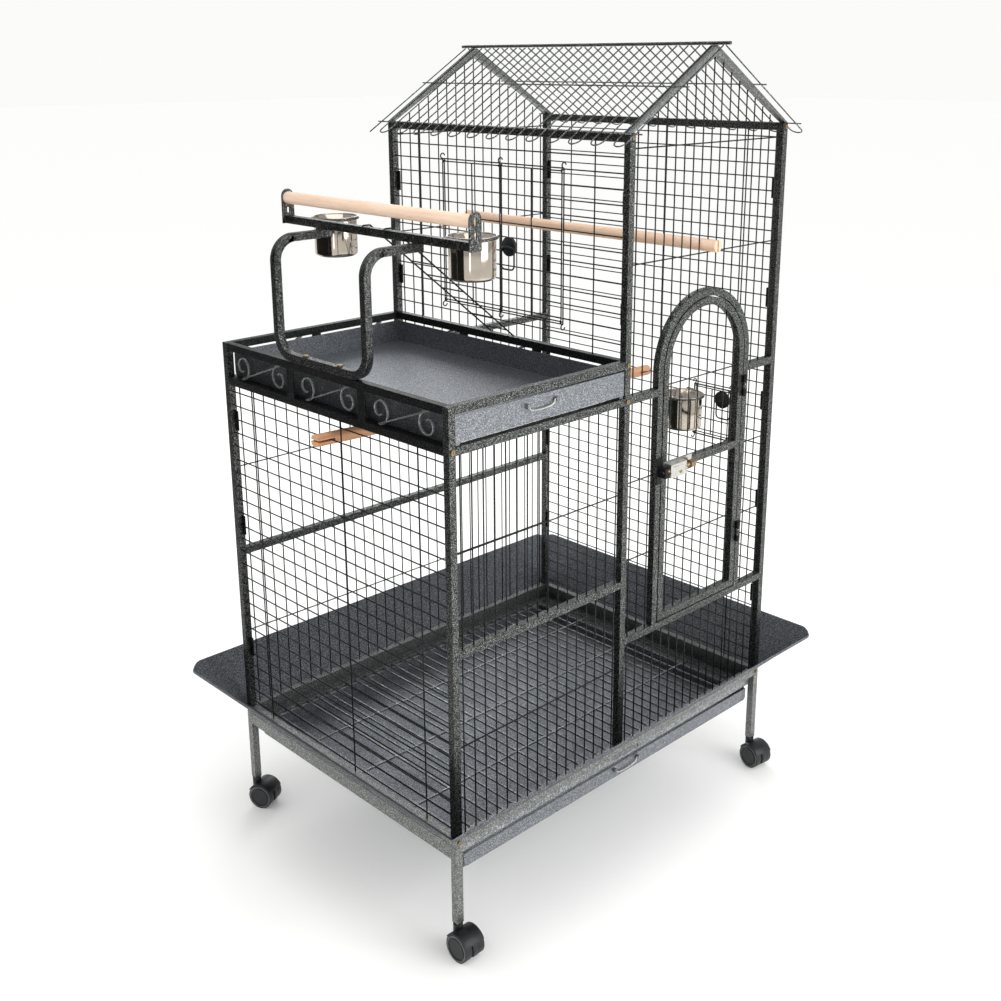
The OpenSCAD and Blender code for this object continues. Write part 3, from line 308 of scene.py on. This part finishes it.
lines = []
for z0, z1 in ((frame_top, mid_rail), (mid_rail + tube, rail_z)):
    lines += [upright(x, front_y - lift, z0, z1) for x in bay_xs]
    lines += [level_x(-hw + tube, tower_x, front_y + lift, z) for z in places(z0, z1, 175, 1)]
finish_piece(sweep("front_left_wires", lines, wire / 2), wire_coat, "cage", "dark_wire", "wires_front_left")

jamb_r = 136
arch_c = 1065 - jamb_r
jamb_x0, jamb_x1 = tower_mid - jamb_r, tower_mid + jamb_r
gable_levels = (eave_low - 12, 1143 - 11 - wire / 2 - 0.4)
lines = [upright(x, front_y - lift, frame_top, sill) for x in tower_xs]
lines += [level_x(tower_in0, tower_in1, front_y + lift, z) for z in places(frame_top, sill, 175, 1)]
for x in tower_xs:
    if jamb_x0 < x < jamb_x1:
        base = arch_c + math.sqrt(jamb_r ** 2 - (x - tower_mid) ** 2) - 1
        lines.append(upright(x, front_y - lift, base, under_rafter(x)))
    else:
        lines.append(upright(x, front_y - lift, sill + tube, rail_z))
        lines.append(upright(x, front_y - lift, rail_top, under_rafter(x)))
lines += [level_x(tower_in0, tower_in1, front_y + lift, z) for z in gable_levels]
for a, b in ((tower_in0, jamb_x0), (jamb_x1, tower_in1)):
    lines += [level_x(a, b, front_y + lift, z) for z in places(sill + tube, rail_z, 175, 1)]
finish_piece(sweep("front_tower_wires", lines, wire / 2), wire_coat, "cage", "dark_wire", "wires_front_tower")

back_y = hd - tube / 2
back_xs = places(-hw + tube, tower_in1, wire_step)
lines = []
for z0, z1 in ((frame_top, mid_rail), (mid_rail + tube, rail_z)):
    lines += [upright(x, back_y + lift, z0, z1) for x in back_xs]
    lines += [level_x(-hw + tube, tower_in1, back_y - lift, z) for z in places(z0, z1, 175, 1)]
lines += [upright(x, back_y + lift, rail_top, under_rafter(x)) for x in tower_xs]
lines += [level_x(tower_in0, tower_in1, back_y - lift, z) for z in gable_levels]
finish_piece(sweep("back_wires", lines, wire / 2), wire_coat, "cage", "dark_wire", "wires_back")

side_ys = (69 - inner_y, -32, inner_y - 69)
left_x = -hw + tube / 2
lines = [level_y(left_x - lift, -inner_y, inner_y, z) for z in places(frame_top, rail_z, 26.6)]
lines += [upright(left_x + lift, y, frame_top, rail_z) for y in side_ys]
finish_piece(sweep("left_wires", lines, wire / 2), wire_coat, "cage", "dark_wire", "wires_left")


def side_round(x, out, z0, z1, hole, ys, zs):
    """A side panel with an opening: level wires outside, uprights inside, and the opening's frame."""
    y0, y1, h0, h1 = hole
    made = []
    for z in zs:
        if h0 - 5 < z < h1 + 5:
            made += [level_y(x + out, -inner_y, y0 - 1.6, z), level_y(x + out, y1 + 1.6, inner_y, z)]
        else:
            made.append(level_y(x + out, -inner_y, inner_y, z))
    for y in ys:
        if y0 - 5 < y < y1 + 5:
            made += [upright(x - out, y, z0, h0 - 1.6), upright(x - out, y, h1 + 1.6, z1)]
        else:
            made.append(upright(x - out, y, z0, z1))
    return made


def loop(x, y0, y1, z0, z1):
    """A closed rectangle of wire in a side plane, as four bars with overlapping corners."""
    return [level_y(x, y0, y1, z0), level_y(x, y0, y1, z1), upright(x, y0, z0, z1), upright(x, y1, z0, z1)]


def hook(x, y, z, up, out, r=5.0):
    """The end of an upright, curled round height z to the outside of the panel."""
    return [(x + out * r * math.sin(t), y, z - up * r * math.cos(t))
            for t in [math.radians(24 * k) for k in range(12)]]


def join(name, *pieces):
    """Makes one mesh of several."""
    verts, faces, smooth = [], [], []
    for piece in pieces:
        base = len(verts)
        verts += [tuple(v.co) for v in piece.data.vertices]
        faces += [tuple(base + i for i in p.vertices) for p in piece.data.polygons]
        smooth += [p.use_smooth for p in piece.data.polygons]
        bpy.data.objects.remove(piece)
    mesh = bpy.data.meshes.new(name)
    mesh.from_pydata(verts, [], faces)
    mesh.polygons.foreach_set("use_smooth", smooth)
    made = bpy.data.objects.new(name, mesh)
    bpy.context.collection.objects.link(made)
    return made


tower_left_x = tower_x + tube / 2
play = (-158, 158, 1010, 1283)
levels = places(fence_top, eave_low, 26.6, 1)
tower_zs = [z for z in levels if play[2] + 8 < z < play[3] - 8]
lines = side_round(tower_left_x, -lift, fence_top, eave_low, play, (70 - inner_y, inner_y - 70), levels)
for y in (play[0] - 1.6, 0, play[1] + 1.6):
    lines += [hook(tower_left_x, y, play[3] + 6.6, 1, -1), hook(tower_left_x, y, play[2] - 6.6, -1, -1)]
thin = sweep("thin", lines, wire / 2)
edge = loop(tower_left_x, play[0] - 1.6, play[1] + 1.6, play[2] - 1.6, play[3] + 1.6)
thick = sweep("thick", edge, wire / 2)
finish_piece(join("tower_left_wires", thin, thick), wire_coat, "cage", "dark_wire", "wires_tower_left")

right_x = hw - tube / 2
feeder = (-216, -128, 706, 810)
levels = places(frame_top, eave_low, 25.3)
right_zs = [z for z in levels if feeder[2] + 8 < z < feeder[3] - 8]
lines = side_round(right_x, lift, frame_top, eave_low, feeder, side_ys, levels)
for y in (feeder[0] - 1.6, feeder[1] + 1.6):
    lines += [hook(right_x, y, feeder[3] + 6.6, 1, 1), hook(right_x, y, feeder[2] - 6.6, -1, 1)]
thin = sweep("thin", lines, wire / 2)
edge = loop(right_x, feeder[0] - 1.6, feeder[1] + 1.6, feeder[2] - 1.6, feeder[3] + 1.6)
thick = sweep("thick", edge, 1.6, 10)
finish_piece(join("right_wires", thin, thick), wire_coat, "cage", "dark_wire", "wires_right")

leaf_in = jamb_r - tube - 2.4 - tube
leaf_low, cross_z = sill + tube + 2.4 + tube, 739
leaf_xs = places(tower_mid - leaf_in, tower_mid + leaf_in, wire_step)
lines = [upright(x, front_y - lift, leaf_low, cross_z) for x in leaf_xs]
lines += [level_x(tower_mid - leaf_in, tower_mid + leaf_in, front_y + lift, z)
          for z in places(leaf_low, cross_z, 175, 1) + [(cross_z + tube + 1065 - tube) / 2]]
for x in leaf_xs:
    rise = math.sqrt(leaf_in ** 2 - (abs(x - tower_mid)) ** 2)
    lines.append(upright(x, front_y - lift, cross_z + tube, arch_c + rise + 1))
finish_piece(sweep("arched_door_wires", lines, wire / 2), wire_coat, "door", "dark_wire", "door_wires")


# ---- Wire doors ----
# Three small doors of the same welded wire. Two open from the tower onto the play top, and one on
# the right side is for the inside cup. Their end wires are curled round their top and bottom wires.

def wire_door(name, x, y0, y1, z0, z1, zs, out, body):
    edges = (y0 + 1.6, y1 - 1.6)
    lines = [upright(x - lift * out, (y0 + y1) / 2, z0 + 1, z1 - 1)]
    lines += [level_y(x + lift * out, y0 + 0.4, y1 - 0.4, z) for z in [z0 + 1.6, z1 - 1.6] + zs]
    for y in edges:
        lines.append(hook(x, y, z0 + 1.6, -1, out, 2.2)[::-1] + hook(x, y, z1 - 1.6, 1, out, 2.2))
    finish_piece(sweep(name + "_wires", lines, wire / 2), wire_coat, body, "dark_wire", name)


gap = 1.5  # between a door and the wire round its opening
half_gap = gap / 2
play_low, play_high = play[2] + gap, play[3] - gap
wire_door("play_door_back", tower_left_x, half_gap, play[1] - gap, play_low, play_high, tower_zs, -1,
          "play_door_back")
wire_door("play_door_front", tower_left_x, play[0] + gap, -half_gap, play_low, play_high, tower_zs, -1,
          "play_door_front")
wire_door("feeder_door", right_x, feeder[0] + gap, feeder[1] - gap, feeder[2] + gap, feeder[3] - gap,
          right_zs, 1, "feeder_door")


# ---- Roof ----
# Two slopes of wire over the rafters, from a ridge rod down past the eaves. Neighbouring wires
# are one wire bent back on itself, so the eave shows a row of round hairpin loops.

slope = math.atan2(apex_z - eave_z, tower_mid - tower_x)
slope_len = math.hypot(apex_z - eave_z, tower_mid - tower_x)
roof_y = hd + 26
roof_ys = places(-roof_y, roof_y, wire_step)


def roof_point(s, side, y, out=0.0):
    """A point s mm down a slope from the ridge; side is 1 to the right and -1 to the left."""
    return (tower_mid + side * (s * math.cos(slope) + out * math.sin(slope)), y,
            apex_z - s * math.sin(slope) + out * math.cos(slope))


# The roof's wire gets a lighter grey than the panels: a painted sheen for the sky that it catches from above
sheen_wire_coat = coat("painted_sheen_wire_coat", "#3c3e3d", "#868887", "#d0d2d1", 0.9, 0.28, 1.6, 0.2)
for side, name in ((1, "roof_right"), (-1, "roof_left")):
    end = slope_len + 41 - wire / 2
    lines = []
    for i in range(0, len(roof_ys) - 1, 2):
        a, b = roof_ys[i], roof_ys[i + 1]
        r = (b - a) / 2
        bend = [roof_point(end - r + r * math.sin(t), side, (a + b) / 2 - r * math.cos(t), 1.3)
                for t in [math.pi * k / 12 for k in range(13)]]
        lines.append([roof_point(4, side, a, 1.3)] + bend + [roof_point(4, side, b, 1.3)])
    if len(roof_ys) % 2:
        lines.append([roof_point(4, side, roof_ys[-1], 1.3), roof_point(end, side, roof_ys[-1], 1.3)])
    lines += [[roof_point(s, side, -roof_y, 0.4), roof_point(s, side, roof_y, 0.4)]
              for s in (slope_len * 0.49, slope_len + 3)]
    finish_piece(sweep(name + "_wires", lines, wire / 2), sheen_wire_coat, "cage", "dark_wire", name)
dress("ridge_rod", sheen_wire_coat)


# ---- Seed skirt and pull-out trays ----
# Folded steel sheet with the same hammertone coat in a finer grain. The skirt's edge is rolled,
# and the trays and the floor grate pull out at the front.

# Dark slate sheet coat: blue-grey, satin, with a fine pebbled grain
sheet_coat = coat("slate_hammertone_sheet", "#6c6f74", "#abaeb3", "#dee1e5", 0.96, 0.34, 1.2, 0.45)
skirt_coat = coat("dark_slate_skirt_coat", "#515458", "#8b8e93", "#bcbfc3", 0.96, 0.34, 1.3, 0.45)
for name in ("skirt_front_back", "skirt_sides"):
    dress(name, skirt_coat)
for name in ("platform_tray", "base_tray"):
    dress(name, sheet_coat, 0.4)

# The grate's bars get a paler coat all over: a painted highlight for the light they catch from above
grate_coat = coat("grate_bar_coat", "#6e7173", "#b4b7b8", "#eef0f0", 0.88, 0.28, 1.6, 0.2)
dress("floor_grate", grate_coat, 0.3)


# ---- Play top ----
# A low fence of square tube with flat panels and wrought scrolls round the platform tray, the
# bent play stand on its left rail, and a turned perch held by two slotted end plates.

# The fence is coated like the frame, but its coat is darkened with painted shade, as its sides face away from
# the light and read as black
fence_coat = coat("fence_hammertone", "#222423", "#464847", "#7a7c7b", 0.96, 0.32, 1.15, 0.4)
dress("fence_rails", fence_coat, 0.8)
scroll_coat = coat("scroll_strip_coat", "#8a8d8b", "#cdcfcc", "#f4f5f2", 0.8, 0.26, 1.4, 0.2)


def spiral(cx, cz, r0, r1, a0, a1, steps):
    """Points of a spiral in a flat panel, from radius r0 at angle a0 to r1 at a1 (degrees)."""
    made = []
    for i in range(steps + 1):
        t = i / steps
        a = math.radians(a0 + (a1 - a0) * t)
        r = r0 + (r1 - r0) * t
        made.append((cx + r * math.cos(a), cz + r * math.sin(a)))
    return made


def s_scroll(width, height):
    """Half a turn of points of a wrought S: a curl at each end, joined by a long wave."""
    r = height / 2
    c = width / 2 - r
    curl = spiral(-c, 0, r * 0.30, r, -60, -60 - 400, 26)
    last = curl[-1]
    half = curl + [(last[0] * (1 - t), last[1] * (1 - t)) for t in (0.25, 0.5, 0.75)]
    return half + [(0, 0)] + [(-x, -z) for x, z in reversed(half)]


def strip(points, place, thick, deep, verts, faces):
    """Adds a flat strip stood on edge: thick in its drawing, deep across it. place maps to 3D."""
    base = len(verts)
    n = len(points)
    for i, (u, v) in enumerate(points):
        a = points[max(i - 1, 0)]
        b = points[min(i + 1, n - 1)]
        length = math.hypot(b[0] - a[0], b[1] - a[1]) or 1
        nu, nv = -(b[1] - a[1]) / length, (b[0] - a[0]) / length
        for su, sd in ((-1, -1), (1, -1), (1, 1), (-1, 1)):
            p = place(u + nu * su * thick / 2, v + nv * su * thick / 2, sd * deep / 2)
            verts.append((p[0] / 1000, p[1] / 1000, p[2] / 1000))
        if i:
            low = base + (i - 1) * 4
            faces += [(low + k, low + (k + 1) % 4, low + 4 + (k + 1) % 4, low + 4 + k) for k in range(4)]
    faces.append((base + 3, base + 2, base + 1, base))
    last = len(verts) - 4
    faces.append((last, last + 1, last + 2, last + 3))


verts, faces = [], []
scroll_h = 51 - 2.5
bay = 2 * inner_y / 3
for x in (-hw + 6.5, tower_x + 6.5):
    for i in range(3):
        mid = -inner_y + (i + 0.5) * bay
        strip(s_scroll(bay - 34, scroll_h),
              lambda u, v, w, x=x, mid=mid: (x + w, mid - u, rail_top + 25.5 + v), 2.4, 4, verts, faces)
back_span = (tower_x + hw - tube) / 2
for i in range(2):
    mid = -hw + tube + (i + 0.5) * back_span
    strip(s_scroll(back_span - 34, scroll_h),
          lambda u, v, w, mid=mid: (mid + u, hd - 6.5 + w, rail_top + 25.5 + v), 2.4, 4, verts, faces)
mesh = bpy.data.meshes.new("scrolls")
mesh.from_pydata(verts, [], faces)
scrolls = bpy.data.objects.new("wrought_scrolls", mesh)
bpy.context.collection.objects.link(scrolls)
edge = scrolls.modifiers.new("edge", "BEVEL")
edge.width = 0.0004
edge.segments = 1
finish_piece(scrolls, scroll_coat, "cage", "scroll_black", "fence_scrolls")


# ---- Perches ----
# Turned hardwood dowels, sanded and left bare, with a saw slot in each end that fits a wire.

def bare_wood(name, along, pale, tan, streak):
    """Sanded beech-like dowel: long faint grain along one axis, and short dark flecks."""
    made = bpy.data.materials.new(name)
    made.use_nodes = True
    tree = made.node_tree
    shader = tree.nodes["Principled BSDF"]
    place = add(tree, "ShaderNodeTexCoord").outputs["Object"]
    grain = add(tree, "ShaderNodeMapping", {"Vector": place})
    grain.inputs["Scale"].default_value = [7.0 if axis == along else 130.0 for axis in "xyz"]
    bands = add(tree, "ShaderNodeTexNoise", {"Vector": grain.outputs[0], "Scale": 1.6, "Detail": 6.0,
                                             "Roughness": 0.62})
    flecks = add(tree, "ShaderNodeMapping", {"Vector": place})
    flecks.inputs["Scale"].default_value = [60.0 if axis == along else 900.0 for axis in "xyz"]
    fleck = add(tree, "ShaderNodeTexNoise", {"Vector": flecks.outputs[0], "Scale": 1.0, "Detail": 2.0})
    tone = add(tree, "ShaderNodeValToRGB", {"Fac": bands.outputs["Fac"]})
    tone.color_ramp.elements[0].position = 0.3
    tone.color_ramp.elements[0].color = paint(tan)
    tone.color_ramp.elements[1].position = 0.72
    tone.color_ramp.elements[1].color = paint(pale)
    spots = add(tree, "ShaderNodeMapRange", {"Value": fleck.outputs["Fac"], "From Min": 0.6, "From Max": 0.75,
                                             "To Min": 0.0, "To Max": 0.45})
    mixed = add(tree, "ShaderNodeMix", {0: spots.outputs[0], 6: tone.outputs["Color"], 7: paint(streak)},
                data_type="RGBA")
    relief = add(tree, "ShaderNodeBump", {"Height": fleck.outputs["Fac"],
                                            "Strength": 0.2, "Distance": 0.0003})
    tree.links.new(mixed.outputs[2], shader.inputs["Base Color"])
    tree.links.new(relief.outputs[0], shader.inputs["Normal"])
    shader.inputs["Roughness"].default_value = 0.56
    return made


dress("play_perch", bare_wood("bare_dowel_y", "y", "#f0d6c2", "#e2bfa3", "#c39a7b"), 0.8)
dress("tower_perch", bare_wood("bare_dowel_tower", "y", "#eccdb6", "#dab291", "#b98b69"), 0.8)
dress("lower_perch", bare_wood("bare_dowel_x", "x", "#d9a880", "#bf8860", "#8f5f3e"), 0.8)


# ---- Cups and rings ----
# Spun stainless cups, polished, with a rolled bead at the rim. Each hangs by its rim in a ring of
# coated wire, which is welded to the play bar or to a tab on the right side.

def lathe(name, profile, centre, turns=72):
    """Turns a profile of (radius, height) points in mm about an upright line through centre."""
    verts, faces = [], []
    n = len(profile)
    for i in range(turns):
        a = 2 * math.pi * i / turns
        for r, z in profile:
            verts.append(((centre[0] + r * math.cos(a)) / 1000, (centre[1] + r * math.sin(a)) / 1000,
                          (centre[2] + z) / 1000))
    for i in range(turns):
        j = (i + 1) % turns
        faces += [(i * n + k, j * n + k, j * n + k + 1, i * n + k + 1) for k in range(n - 1)]
    mesh = bpy.data.meshes.new(name)
    mesh.from_pydata(verts, [], faces)
    mesh.polygons.foreach_set("use_smooth", [True] * len(faces))
    made = bpy.data.objects.new(name, mesh)
    bpy.context.collection.objects.link(made)
    return made


# Polished stainless: bright, with the faint rings that spinning leaves, about 1 mm apart
steel = bpy.data.materials.new("polished_stainless")
steel.use_nodes = True
tree = steel.node_tree
shader = tree.nodes["Principled BSDF"]
place = add(tree, "ShaderNodeTexCoord").outputs["Object"]
stretch = add(tree, "ShaderNodeMapping", {"Vector": place})
stretch.inputs["Scale"].default_value = (4.0, 4.0, 900.0)
rings = add(tree, "ShaderNodeTexNoise", {"Vector": stretch.outputs[0], "Scale": 1.0, "Detail": 3.0})
smear = add(tree, "ShaderNodeTexNoise", {"Vector": place, "Scale": 45.0, "Detail": 3.0})
polish = add(tree, "ShaderNodeMapRange", {"Value": smear.outputs["Fac"], "From Min": 0.3, "From Max": 0.7,
                                          "To Min": 0.05, "To Max": 0.13})
tint = add(tree, "ShaderNodeValToRGB", {"Fac": smear.outputs["Fac"]})
tint.color_ramp.elements[0].color = paint("#a89c8e")
tint.color_ramp.elements[1].color = paint("#c9c1b6")
relief = add(tree, "ShaderNodeBump", {"Height": rings.outputs["Fac"], "Strength": 0.08, "Distance": 0.0003})
tree.links.new(tint.outputs["Color"], shader.inputs["Base Color"])
tree.links.new(polish.outputs[0], shader.inputs["Roughness"])
tree.links.new(relief.outputs[0], shader.inputs["Normal"])
shader.inputs["Metallic"].default_value = 1.0

cup_r, cup_h = 39, 72
profile = [(0.01, 0), (cup_r - 7, 0)]
quarter = [math.pi / 2 * k / 6 for k in range(1, 7)]
profile += [(cup_r - 7 + 7 * math.sin(t), 7 - 7 * math.cos(t)) for t in quarter]
profile += [(cup_r, cup_h - 9), (cup_r - 0.4, cup_h - 7.6), (cup_r, cup_h - 6.2), (cup_r, cup_h - 2.2)]
profile += [(cup_r + 1.5 - 1.5 * math.cos(t), cup_h - 1.5 + 1.5 * math.sin(t)) for t in
            [-math.pi / 3 + (math.pi * 4 / 3) * k / 10 for k in range(11)]]
profile += [(cup_r - 0.9, cup_h - 2.5), (cup_r - 0.9, 7)]
profile += [(cup_r - 8 + 7.1 * math.cos(t), 8 - 7 * math.sin(t)) for t in quarter]
profile += [(0.01, 1)]
for name in ("cup_back", "cup_front", "cup_inside"):
    low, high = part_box(name)
    centre = [(low[0] + high[0]) * 500, (low[1] + high[1]) * 500, low[2] * 1000]
    finish_piece(lathe("steel_" + name, profile, centre), steel, name, "steel", name)
# The cup rings take the same lighter wire coat, with its painted sheen
dress("cup_rings", sheen_wire_coat, 0.3)


# ---- Ladder ----
# Two long wires with rungs welded between them; its hooks hang over the play bar and its foot
# rests on the fence under the wire doors.

foot = Vector((tower_x + 3, 0, fence_top + 0.4 + 1.3))
low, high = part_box("ladder")
head = Vector((-305 + 1.8, 0, 1195.4 + 1.4))
ladder_y = (low[1] + high[1]) * 500
half = (high[1] - low[1]) * 500 - 1.5
lines = []
for s in (-1, 1):
    y = ladder_y + s * half
    bar = [(foot.x, y, foot.z), (head.x, y, head.z)]
    hook_x = low[0] * 1000 + 1.5
    bar += [(head.x - 3, y, head.z + 0.4), (hook_x + 3, y, head.z + 0.4), (hook_x + 0.9, y, head.z - 0.5),
            (hook_x, y, head.z - 3), (hook_x, y, head.z - 10)]
    lines.append(bar)
rungs = []
for i in range(8):
    t = (i + 0.5) / 8
    p = foot.lerp(head, t)
    rungs.append([(p.x, ladder_y - half, p.z), (p.x, ladder_y + half, p.z)])
finish_piece(join("wire_ladder", sweep("rails", lines, 1.5), sweep("rungs", rungs, 1.3)), wire_coat, "ladder",
             "dark_wire", "ladder")


# ---- Bright plated parts and screws ----
# The bail handles and the slide latch are zinc plated steel, and the bolt's hex grip and the
# screws have the yellow plating.

def plated(name, dull, bright_hex, rough):
    """Bright zinc: a mottled metal with a soft spangle a few millimetres across."""
    made = bpy.data.materials.new(name)
    made.use_nodes = True
    tree = made.node_tree
    shader = tree.nodes["Principled BSDF"]
    place = add(tree, "ShaderNodeTexCoord").outputs["Object"]
    spangle = add(tree, "ShaderNodeTexVoronoi", {"Vector": place, "Scale": 260.0})
    cloud = add(tree, "ShaderNodeTexNoise", {"Vector": place, "Scale": 120.0, "Detail": 4.0})
    both = add(tree, "ShaderNodeMath", {0: spangle.outputs["Distance"], 1: cloud.outputs["Fac"]},
               operation="ADD")
    tone = add(tree, "ShaderNodeValToRGB", {"Fac": both.outputs[0]})
    tone.color_ramp.elements[0].position = 0.4
    tone.color_ramp.elements[0].color = paint(dull)
    tone.color_ramp.elements[1].position = 0.9
    tone.color_ramp.elements[1].color = paint(bright_hex)
    gloss = add(tree, "ShaderNodeMapRange",
                {"Value": cloud.outputs["Fac"], "To Min": rough, "To Max": rough + 0.25})
    relief = add(tree, "ShaderNodeBump", {"Height": both.outputs[0], "Strength": 0.12, "Distance": 0.0003})
    tree.links.new(tone.outputs["Color"], shader.inputs["Base Color"])
    tree.links.new(gloss.outputs[0], shader.inputs["Roughness"])
    tree.links.new(relief.outputs[0], shader.inputs["Normal"])
    shader.inputs["Metallic"].default_value = 0.9
    return made


zinc = plated("bright_zinc", "#6f6e6b", "#c6c4be", 0.2)
yellow_zinc = plated("yellow_zinc", "#5f5340", "#9c8768", 0.3)
for name, body in (("platform_handle", "platform_bail"), ("base_handle", "base_bail")):
    low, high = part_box(name)
    mid_x, y = (low[0] + high[0]) * 500, (low[1] + high[1]) * 500
    top = high[2] * 1000 - 1.6
    half = (high[0] - low[0]) * 500
    arm = half - 5.6
    bow = [(mid_x - half, y, top), (mid_x - arm - 1.2, y, top), (mid_x - arm, y, top - 1.4)]
    bow += [(mid_x - arm * math.cos(t), y, top - 1.4 - 8.5 * math.sin(t) ** 0.6)
            for t in [math.pi * k / 20 for k in range(1, 20)]]
    bow += [(mid_x + arm, y, top - 1.4), (mid_x + arm + 1.2, y, top), (mid_x + half, y, top)]
    finish_piece(sweep(name + "_wire", [bow], 1.5, 10), zinc, body, "plated", name)
dress("latch_body", zinc, 1.6)
low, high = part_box("latch_body")
screw = lathe("latch_screw", [(0.01, 1.2), (1.2, 1.2), (1.2, 1.7), (2.6, 1.4), (3.2, 0)], (0, 0, 0), 32)
for v in screw.data.vertices:
    v.co = (low[0] + 0.03 + v.co.x, low[1] - v.co.z, (low[2] + high[2]) / 2 - 0.005 + v.co.y)
finish_piece(screw, yellow_zinc, "door", "brass")
for name in ("latch_bolt", "screws"):
    dress(name, yellow_zinc, 0.3)

# Black oxide on hinges, hook tabs and the keeper: a dull black with rubbed paler spots
black_metal = coat("black_oxide", "#0a0b0b", "#1a1c1c", "#3d4040", 0.6, 0.36, 1.2, 0.15)
for name in ("hinge_pins", "hook_plates", "latch_keeper"):
    dress(name, black_metal, 0.4)


# ---- Black plastic parts ----
# The turn latches and the twin-wheel casters are moulded nylon: deep black with a fine spark
# texture, and scuffed paler along the wheels' raised rims.

def nylon(name, dark, pale, rough):
    made = bpy.data.materials.new(name)
    made.use_nodes = True
    tree = made.node_tree
    shader = tree.nodes["Principled BSDF"]
    place = add(tree, "ShaderNodeTexCoord").outputs["Object"]
    spark = add(tree, "ShaderNodeTexNoise", {"Vector": place, "Scale": 1400.0, "Detail": 2.0})
    dust = add(tree, "ShaderNodeTexNoise", {"Vector": place, "Scale": 70.0, "Detail": 5.0})
    tone = add(tree, "ShaderNodeValToRGB", {"Fac": dust.outputs["Fac"]})
    tone.color_ramp.elements[0].position = 0.35
    tone.color_ramp.elements[0].color = paint(dark)
    tone.color_ramp.elements[1].position = 0.8
    tone.color_ramp.elements[1].color = paint(pale)
    gloss = add(tree, "ShaderNodeMapRange",
                {"Value": dust.outputs["Fac"], "To Min": rough, "To Max": rough + 0.2})
    relief = add(tree, "ShaderNodeBump", {"Height": spark.outputs["Fac"],
                                            "Strength": 0.18, "Distance": 0.0002})
    tree.links.new(tone.outputs["Color"], shader.inputs["Base Color"])
    tree.links.new(gloss.outputs[0], shader.inputs["Roughness"])
    tree.links.new(relief.outputs[0], shader.inputs["Normal"])
    return made


black_nylon = nylon("moulded_black_nylon", "#0b0c0e", "#23262a", 0.34)
knob_r = 18
for name, out, body in (("play_door_latch", -1, "play_latch"), ("feeder_latch", 1, "feeder_catch")):
    low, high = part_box(name)
    y, z = (low[1] + high[1]) * 500, high[2] * 1000 - knob_r
    x = high[0] * 1000 if out < 0 else low[0] * 1000
    profile = [(0.01, 0), (knob_r, 0), (knob_r, 4), (knob_r - 0.7, 4.8), (knob_r - 2.2, 5.1)]
    profile.append((knob_r - 3.4, 4.8))
    profile += [((knob_r - 3.4) * math.cos(t), 4.8 + 1.9 * math.sin(t))
                for t in [math.pi / 2 * k / 6 for k in range(1, 6)]] + [(0.01, 6.7)]
    disc = lathe("disc", profile, (0, 0, 0), 64)
    for v in disc.data.vertices:
        v.co = (x / 1000 + out * v.co.z, y / 1000 + v.co.x, z / 1000 + v.co.y)
    grip = sweep("grip", [[(x + out * (6 + 3 * math.sin(math.pi * k / 12)), y - 15 + 30 * k / 12,
                            z - 3 + 3 * math.sin(math.pi * k / 12)) for k in range(13)]], 2.6, 10)
    bail = [(x + out * 6.3, y - 17, z), (x + out * 6.3, y - 17, z - 34)]
    bail += [(x + out * 6.3, y - 9 - 8 * math.cos(t), z - 34 - 8 * math.sin(t))
             for t in [math.pi / 2 * k / 5 for k in range(1, 6)]]
    bail += [(px, 2 * y - py, pz) for px, py, pz in reversed(bail)]
    finish_piece(join(name + "_moulding", disc, grip), black_nylon, body, "black_plastic", name)
    finish_piece(sweep(name + "_bail", [bail], 1.6, 10), wire_coat, body, "black_plastic")
worn_nylon = nylon("scuffed_black_nylon", "#35383c", "#6c7074", 0.3)
turns = {"front_left": 0, "front_right": -8, "back_left": 25, "back_right": 40}
trail = 18  # how far the wheels run behind the caster's stem
wheel_r = 0.025
wheel_face = 0.021  # from the caster's middle to a wheel's outer face
for corner, angle in turns.items():
    dress("caster_" + corner, black_nylon, 0.5)
    dress("wheels_" + corner, black_nylon, 0.7)
    a = math.radians(angle)
    x = (hw - 7) * (1 if "right" in corner else -1) + trail * math.sin(a)
    y = (hd - 7) * (1 if "back" in corner else -1) - trail * math.cos(a)
    rims = []
    for side in (-1, 1):
        ring = lathe("ring", [(20.3, 0), (20.8, 0.5), (22.4, 0.5), (22.9, 0)], (0, 0, 0), 64)
        for v in ring.data.vertices:
            across = side * (wheel_face + v.co.z)
            v.co = (x / 1000 + across * math.cos(a) - v.co.x * math.sin(a),
                    y / 1000 + across * math.sin(a) + v.co.x * math.cos(a), wheel_r + v.co.y)
        rims.append(ring)
    finish_piece(join("rims_" + corner, *rims), worn_nylon, "wheels_" + corner, "black_plastic")
